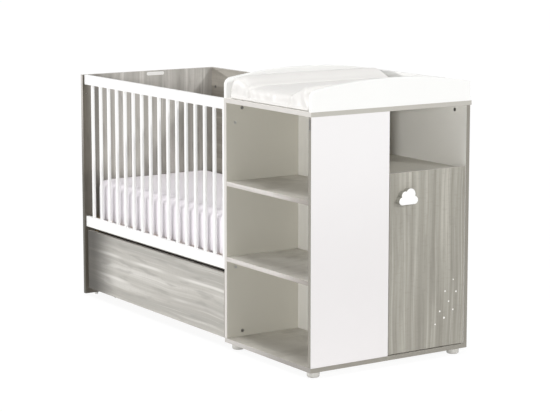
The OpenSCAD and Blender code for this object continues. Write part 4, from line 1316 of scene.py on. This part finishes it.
@dataclass
class Drawer:
    """The drawer: a faced front, a box of grey boards and four castors.

    Attributes:
        bore: Radius of the wheels' bore.
        hub: Radius of their hub.
        web: Half the thickness of the web between hub and tread.
    """

    bore: float = 3.05 * MM
    hub: float = 6.3 * MM
    web: float = 5.6 * MM

    def build(self, hardware: Hardware) -> None:
        """Builds the box's boards, fittings and castors."""
        # the drawer front carries painted shade at its left end
        Shaped("drawer_front", "drawer_front_board", FRONT_DECOR, Axis.Y,
               {None: DECOR_BAND}).build("drawer", "wood_decor")
        build_all("drawer", "grey_board", *(
            Shaped(node, f"{node}_board", GREY_FACE, thin, {None: GREY_BAND})
            for node, thin in (("drawer_side_left", Axis.X), ("drawer_side_right", Axis.X),
                               ("drawer_back", Axis.Y))))
        refinish("drawer_bottom", FIBREBOARD)
        Shaped("drawer_bearers", "drawer_bearer_pair", PINE[Axis.X], radius=1.5 * MM,
               sharp=True).build("drawer", "plain_wood")
        self.build_fittings(hardware)
        self.build_castors()

    def build_fittings(self, hardware: Hardware) -> None:
        """Grows the cam locks and screws of the drawer box."""
        low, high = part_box("drawer_cams")
        left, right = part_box("drawer_side_left"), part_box("drawer_side_right")
        r = hardware.cam / 2
        hardware.lock("drawer_cams", "drawer_cam_locks", "drawer", [
            (Vector((x, (low.y + high.y) / 2, z)), Vector((way, 0, 0)), Vector(FRONT))
            for z in (low.z + r, high.z - r)
            for x, way in ((left[1].x, 1), (right[0].x, -1))], 11 * MM)
        refinish("drawer_cam_bolts", STEEL)
        hardware.fasten("drawer_screws", "drawer", (-1, 0, 0), (5, 9, 2.2), 0.8 * MM,
                        (left[0].x + right[1].x) / 2)

    def build_castors(self) -> None:
        """Builds forks and axles and turns the four wheels."""
        Shaped("castor_forks", "castor_fork_set", DARK_PLASTIC, radius=0.6 * MM,
               sharp=True).build("drawer", "dark_plastic")
        refinish("castor_axles", STEEL)
        for node in (f"wheel_{end}_{side}" for end in ("front", "rear")
                     for side in ("left", "right")):
            low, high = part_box(node)
            r, w = (high.z - low.z) / 2, (high.x - low.x) / 2
            half = [(w, self.bore), (w, self.hub - 0.6 * MM), (w - 0.6 * MM, self.hub),
                    (self.web, self.hub + 0.6 * MM), (self.web, r - 5.2 * MM)]
            # the tread swells between a groove at each side and its round shoulders
            half += [(w - x * MM, r - drop * MM) for x, drop in (
                (1, 4.5), (0.2, 3.6), (0.4, 1.8), (2.4, 0.4), (5, 0))]
            profile = half + [(-x, radius) for x, radius in reversed(half)]
            belongs(turned(f"{node}_tyre", profile, [(low + high) / 2], Axis.X, TREAD),
                    node, "wheel_tread", node)


@dataclass
class Chest:
    """The chest: boards, shelves, feet and the fittings that hold them.

    Attributes:
        foot_radius: Radius of the feet.
        foot_edge: Rounding of their edges.
        foot_bore: Radius of the hole for a foot's screw.
        foot_seat: Radius of the sunk seat of its head.
        seat_top: Height of that seat.
    """

    foot_radius: float = 25 * MM
    foot_edge: float = 2.5 * MM
    foot_bore: float = 2.35 * MM
    foot_seat: float = 4.6 * MM
    seat_top: float = 10.5 * MM

    def build(self, hardware: Hardware) -> None:
        """Builds the boards, then feet and fittings."""
        pale, shelf = {None: LIGHT_BAND}, {None: SHELF_BAND}
        # the top's side bands, the bottom's front and right bands, the wall's face and the
        # back's bands carry painted shade
        boards = {
            "chest_top": (LIGHT_FACE, Axis.Z, {FRONT: LIGHT_BAND, None: TOP_SIDE_SHADED_BAND}),
            "chest_bottom": (SHELF_DECOR, Axis.Z, {
                FRONT: LOW_FRONT_SHADED_BAND, RIGHT: LOW_SHADED_BAND, None: GREY_BAND}),
            "cupboard_shelf": (GREY_FACE, Axis.Z, pale),
            "niche_shelf_upper": (SHELF_DECOR, Axis.Z, shelf),
            "niche_shelf_lower": (SHELF_DECOR, Axis.Z, shelf),
            "chest_side": (WALL_SHADED_FACE, Axis.X, pale),
            "chest_divider": (LIGHT_FACE, Axis.Y, {RIGHT: SHADE_BAND, None: LIGHT_BAND}),
            "chest_back": (LIGHT_FACE, Axis.Y, {None: DEEP_SHADED_BAND})}
        build_all("frame", "grey_board", *(
            Shaped(node, f"{node}_board", *looks) for node, looks in boards.items()))
        # the white side panel's face and its front edge band carry painted shade
        Shaped("white_side_panel", "white_side_panel_board", WHITE_FACE, Axis.X,
               {FRONT: DEEP_SHADED_BAND}).build("frame", "white_board")
        Shaped("corner_fitting", "corner_fitting_cover", COVER_PLASTIC,
               sharp=True).build("frame", "dark_plastic")
        self.build_feet()
        hardware.lock("cam_locks", "cam_lock_set", "frame", cam_places("cam_locks"), 12.4 * MM)
        refinish("shelf_pins", STEEL)
        refinish("cam_bolts", STEEL)
        hardware.fasten("foot_screws", "frame", DOWN, (4.5, 8.8, 2.5))
        hardware.fasten("rim_screws", "frame", DOWN, (4.5, 9, 2), 1 * MM)

    def build_feet(self) -> None:
        """Turns the four feet, each with the sunk seat of its screw."""
        low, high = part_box("chest_feet")
        r, e, top = self.foot_radius, self.foot_edge, high.z
        profile = [(0, self.foot_seat), (0, r - 2 * e), (0.4 * e, r - e),
                   (1.4 * e, r - 0.25 * e), (2.6 * e, r), (top - e, r),
                   (top - 0.3 * e, r - 0.3 * e), (top, r - e), (top, self.foot_bore),
                   (self.seat_top, self.foot_bore), (self.seat_top, self.foot_seat)]
        places = [Vector((x, y, 0)) for x in (low.x + r, high.x - r)
                  for y in (low.y + r, high.y - r)]
        belongs(turned("chest_foot_set", profile, places, Axis.Z, FOOT_PLASTIC),
                "frame", "white_plastic", "chest_feet")


@dataclass
class Door:
    """The cupboard door on its concealed hinges, with its cloud knob.

    Attributes:
        knob_edge: Radius of the knob's front edge.
        knob_steps: Facets across it.
        dot: Diameter of the largest printed dot.
        spots: Places of the dots, as shares of the door's width and height.
    """

    knob_edge: float = 4 * MM
    knob_steps: int = 5
    dot: float = 9 * MM
    spots: tuple[tuple[float, float], ...] = (
        (0.62, 0.13), (0.74, 0.16), (0.86, 0.2), (0.68, 0.2), (0.8, 0.25), (0.9, 0.3),
        (0.75, 0.31), (0.86, 0.37))

    def build(self, hardware: Hardware) -> None:
        """Builds panel, knob, hinges and the printed dots."""
        Shaped("door_panel", "door_panel_board", DOOR_DECOR, Axis.X,
               {None: DECOR_BAND}).build("door", "wood_decor")
        self.build_knob()
        Shaped("hinge_cups", "hinge_cup_pair", STEEL, radius=0.3 * MM,
               sharp=True).build("door", "steel")
        build_all("frame", "steel", *(Shaped(node, f"{node}_pair", STEEL, sharp=True)
                                      for node in ("hinge_arms", "hinge_plates")))
        hardware.fasten("knob_screws", "door", (-1, 0, 0), (4, 8, 2))
        hardware.fasten("hinge_screws", "frame", FRONT, (4, 8, 1.5))
        low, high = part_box("door_panel")
        points = [(Vector((high.x, low.y + (high.y - low.y) * a, low.z + (high.z - low.z) * b)),
                   Vector(RIGHT), Vector((0, 1, 0))) for a, b in self.spots]
        belongs(hardware.dots.grow("door_printed_dots", points, {
            "Radius": self.dot / 2, "Depth": 0.3 * MM, "Seed": 5}, PRINT),
            "door", "white_lacquer")

    def build_knob(self) -> None:
        """Rounds the cloud's front: its face is set in by small steps."""
        bm = merged("door_knob")
        front = max((f for f in bm.faces if f.normal.x > 0.9), key=lambda f: f.calc_area())
        for v in front.verts:
            v.co.x -= self.knob_edge
        gone, risen = 0.0, 0.0
        for i in range(1, self.knob_steps + 1):
            turn = math.pi / 2 * i / self.knob_steps
            inset = self.knob_edge * (1 - math.cos(turn))
            rise = self.knob_edge * math.sin(turn)
            bmesh.ops.inset_region(bm, faces=[front], thickness=inset - gone,
                                   depth=rise - risen, use_even_offset=True)
            gone, risen = inset, rise
        # painted shade: the knob's sides take the grey finish
        for f in bm.faces:
            f.material_index = int(abs(f.normal.x) < 0.2)
        piece = weighted(piece_of(bm, "door_knob_cloud", [WHITE_LACQUER, KNOB_SIDE_SHADE], 50))
        keep_within(piece, *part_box("door_knob"))
        belongs(piece, "door", "white_lacquer", "door_knob")


@dataclass
class Changer:
    """The changer tray: two arched side rims, a back rim and the padded mat.

    Attributes:
        rim_edge: Radius of the rims' edges.
        cell: Size of the mat's mesh cells.
        ease: Room that the cut leaves for the mat to swell.
        bolster: Width of a bolster.
        fold: Depth of the film's folds.
        hem: Distance of the weld round each end from that end.
    """

    rim_edge: float = 2.5 * MM
    cell: float = 6.7 * MM
    ease: float = 5 * MM
    bolster: float = 145 * MM
    fold: float = 5 * MM
    hem: float = 24 * MM
    blown: Blown = field(default_factory=lambda: Blown(4.0, 6 * MM))

    def build(self) -> None:
        """Builds the rims, then the mat."""
        build_all("frame", "white_board", *(
            Shaped(f"changer_rim_{side}", f"changer_rim_{side}_board", RIM_FACE,
                   radius=self.rim_edge, segments=3, sharp=True,
                   above=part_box("chest_top")[1].z + 1 * MM)
            for side in ("left", "right", "back")))
        self.build_mat()

    def build_mat(self) -> None:
        """Cuts the mat from its CAD form, a little smaller, blows it up and welds its seams."""
        low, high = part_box("changer_mat")
        bm = merged("changer_mat")
        base = (low + high) / 2
        base.z = low.z
        shrink = [1 - room * self.ease / side for room, side in zip((2, 2, 1), high - low)]
        for v in bm.verts:
            v.co = Vector([base[i] + (v.co[i] - base[i]) * shrink[i] for i in range(3)])
        piece = piece_of(bm, "changer_mat_pad", [VINYL], 180)
        modified(piece, "REMESH", mode="VOXEL", voxel_size=self.cell)
        self.blown.run(piece, low.z + 5 * MM)
        modified(piece, "SUBSURF", levels=1, render_levels=1)
        self.crease(piece, low, high)
        piece.data.shade_smooth()
        keep_within(piece, low, high)
        belongs(piece, "frame", "mat_cover", "changer_mat")

    def crease(self, piece: bpy.types.Object, low: Vector, high: Vector) -> None:
        """Presses the welded seams into the film, and folds it at the mat's ends.

        Args:
            piece: The mat, at its place.
            low: Lowest corner of the mat's space.
            high: Highest corner of the mat's space.
        """
        normals = [Vector(n.vector) for n in piece.data.vertex_normals]
        for v, out in zip(piece.data.vertices, normals):
            at = v.co
            side = min(at.x - low.x, high.x - at.x)
            end = min(at.y - low.y, high.y - at.y)
            above = min(1.0, max(0.0, (at.z - low.z) / (14 * MM)))
            # its own weight lays the lower edge of each end on the board
            laid = end * (1 - above) * max(0.0, 1 - end / (20 * MM))
            at = at + Vector((0, laid if at.y > (low.y + high.y) / 2 else -laid, 0))
            # a weld runs along the foot of each bolster, and one round each end
            weld = math.exp(-((side - self.bolster) / (8 * MM)) ** 2)
            ring = math.exp(-((end - self.hem) / (4 * MM)) ** 2) * max(0.0, out.z)
            # folds fan out from the ends, where the film is drawn round the corners
            wave = lumps.noise(Vector((at.x / (34 * MM), at.y / (150 * MM), at.z / (60 * MM))))
            wave += 0.5 * lumps.noise(Vector((at.x / (90 * MM), at.y / (42 * MM), 7.0)))
            fan = math.exp(-end / (70 * MM))
            fan += 0.25 * math.exp(-abs(side - self.bolster) / (60 * MM))
            move = self.fold * wave * fan - 7 * MM * weld - 2.5 * MM * ring
            v.co = at + out * move * above


# --------------------------------------------------------------------- stage
@dataclass(frozen=True)
class Lamp:
    """A soft lamp of the studio.

    Attributes:
        name: What it is.
        way: Direction in which its light travels.
        level: Light on a surface square to it, where 1 shows a colour as written.
        softness: Apparent width of the lamp in degrees.
    """

    name: str
    way: tuple[float, float, float]
    level: float
    softness: float

    def hang(self) -> None:
        """Adds the lamp to the scene."""
        light = bpy.data.lights.new(self.name, "SUN")
        light.energy = self.level * math.pi
        light.angle = math.radians(self.softness)
        holder = bpy.data.objects.new(self.name, light)
        holder.rotation_euler = Vector(self.way).to_track_quat("-Z", "Y").to_euler()
        bpy.context.scene.collection.objects.link(holder)


@dataclass
class Studio:
    """The pale floor, the lamps, the white surroundings and the camera.

    Attributes:
        lamps: The lamps.
        surround: Strength of the soft light from all round.
        floor_tone: How much light the floor throws back.
        floor_glow: Strength with which it shows white to the eye.
        floor_share: Share of that white in what the eye sees of it.
        eye: Where the camera stands.
        yaw: Turn of the camera about Z, in radians.
        pitch: How far it looks down, in radians.
        focal_px: Its focal length, in pixels of the photograph.
        frame_px: Width of the photograph in pixels.
        shift: Upward shift of its picture.
    """

    lamps: tuple[Lamp, ...] = (
        Lamp("hard light from the left", (0.62, 0.78, -0.15), 0.42, 2.5),
        Lamp("light along the view", (-0.77, 0.64, -0.1), 0.37, 5),
        Lamp("hard light from the right", (-0.87, -0.35, -0.4), 0.32, 3),
        Lamp("light from above", (-0.1, 0.1, -0.99), 0.43, 20),
    )
    surround: float = 0.21
    floor_tone: float = 0.86
    floor_glow: float = 1.07
    floor_share: float = 0.86
    eye: tuple[float, float, float] = (6.6101, -4.3215, 1.83043)
    yaw: float = 0.986
    pitch: float = 0.14787
    focal_px: float = 1869.21
    frame_px: int = 550
    shift: float = -0.06

    def build(self) -> None:
        """Sets up everything round the object."""
        for lamp in self.lamps:
            lamp.hang()
        world = bpy.context.scene.world = bpy.data.worlds.new("white studio")
        graph = Graph(cleared(world))
        soft, white = (graph.add("ShaderNodeBackground", {
            "Color": (1, 1, 1, 1), "Strength": strength}) for strength in (self.surround, 1.0))
        self.surface(graph, "ShaderNodeOutputWorld", 1.0, soft, white)
        self.build_floor()
        self.build_camera()
        bpy.context.scene.view_settings.view_transform = "Standard"

    def surface(self, graph: Graph, output: str, share: float, real: Link, shown: Link) -> None:
        """Lets the eye, mirrors and glass see another surface than the light does.

        Args:
            graph: Tree of the world or material.
            output: Kind of its output node.
            share: Share of the shown surface in what they see.
            real: Surface that light meets.
            shown: Surface that is seen.
        """
        rays = graph.add("ShaderNodeLightPath").node.outputs
        seen: Link = 0.0
        for kind in ("Is Camera Ray", "Is Glossy Ray", "Is Transmission Ray"):
            seen = graph.add("ShaderNodeMath", {0: seen, 1: rays[kind]}, operation="MAXIMUM")
        seen = graph.add("ShaderNodeMath", {0: seen, 1: share}, operation="MULTIPLY")
        graph.add(output, {0: graph.add("ShaderNodeMixShader", {0: seen, 1: real, 2: shown})})

    def build_floor(self) -> None:
        """Lays a pale floor that shows white and keeps the object's shadow."""
        made = bpy.data.materials.new("pale_floor")
        graph = Graph(cleared(made))
        paint = graph.add("ShaderNodeBsdfDiffuse", {"Color": (*[self.floor_tone] * 3, 1)})
        light = graph.add("ShaderNodeEmission", {"Color": (1, 1, 1, 1),
                                                 "Strength": self.floor_glow})
        self.surface(graph, "ShaderNodeOutputMaterial", self.floor_share, paint, light)
        mesh = bpy.data.meshes.new("floor")
        half = 30.0
        mesh.from_pydata([(-half, -half, 0), (half, -half, 0), (half, half, 0),
                          (-half, half, 0)], [], [(0, 1, 2, 3)])
        mesh.materials.append(made)
        floor = bpy.data.objects.new("floor", mesh)
        floor.location.z = -0.2 * MM
        bpy.context.scene.collection.objects.link(floor)

    def build_camera(self) -> None:
        """Stands the camera where the photograph was taken."""
        data = bpy.data.cameras.new("camera")
        data.sensor_width = 36.0
        data.lens = self.focal_px * data.sensor_width / self.frame_px
        data.shift_y = self.shift
        data.clip_end = 200.0
        camera = bpy.data.objects.new("camera", data)
        ahead = Vector((-math.sin(self.yaw) * math.cos(self.pitch),
                        math.cos(self.yaw) * math.cos(self.pitch), -math.sin(self.pitch)))
        camera.location = self.eye
        camera.rotation_euler = ahead.to_track_quat("-Z", "Y").to_euler()
        bpy.context.scene.collection.objects.link(camera)
        bpy.context.scene.camera = camera


def main() -> None:
    """Builds every sub-assembly in order."""
    logging.basicConfig(level=logging.INFO, format="%(message)s")
    Studio().build()
    hardware = Hardware()
    Crib().build(hardware)
    Mattress().build()
    Drawer().build(hardware)
    Chest().build(hardware)
    Door().build(hardware)
    Changer().build()


if __name__ == "__main__":
    main()
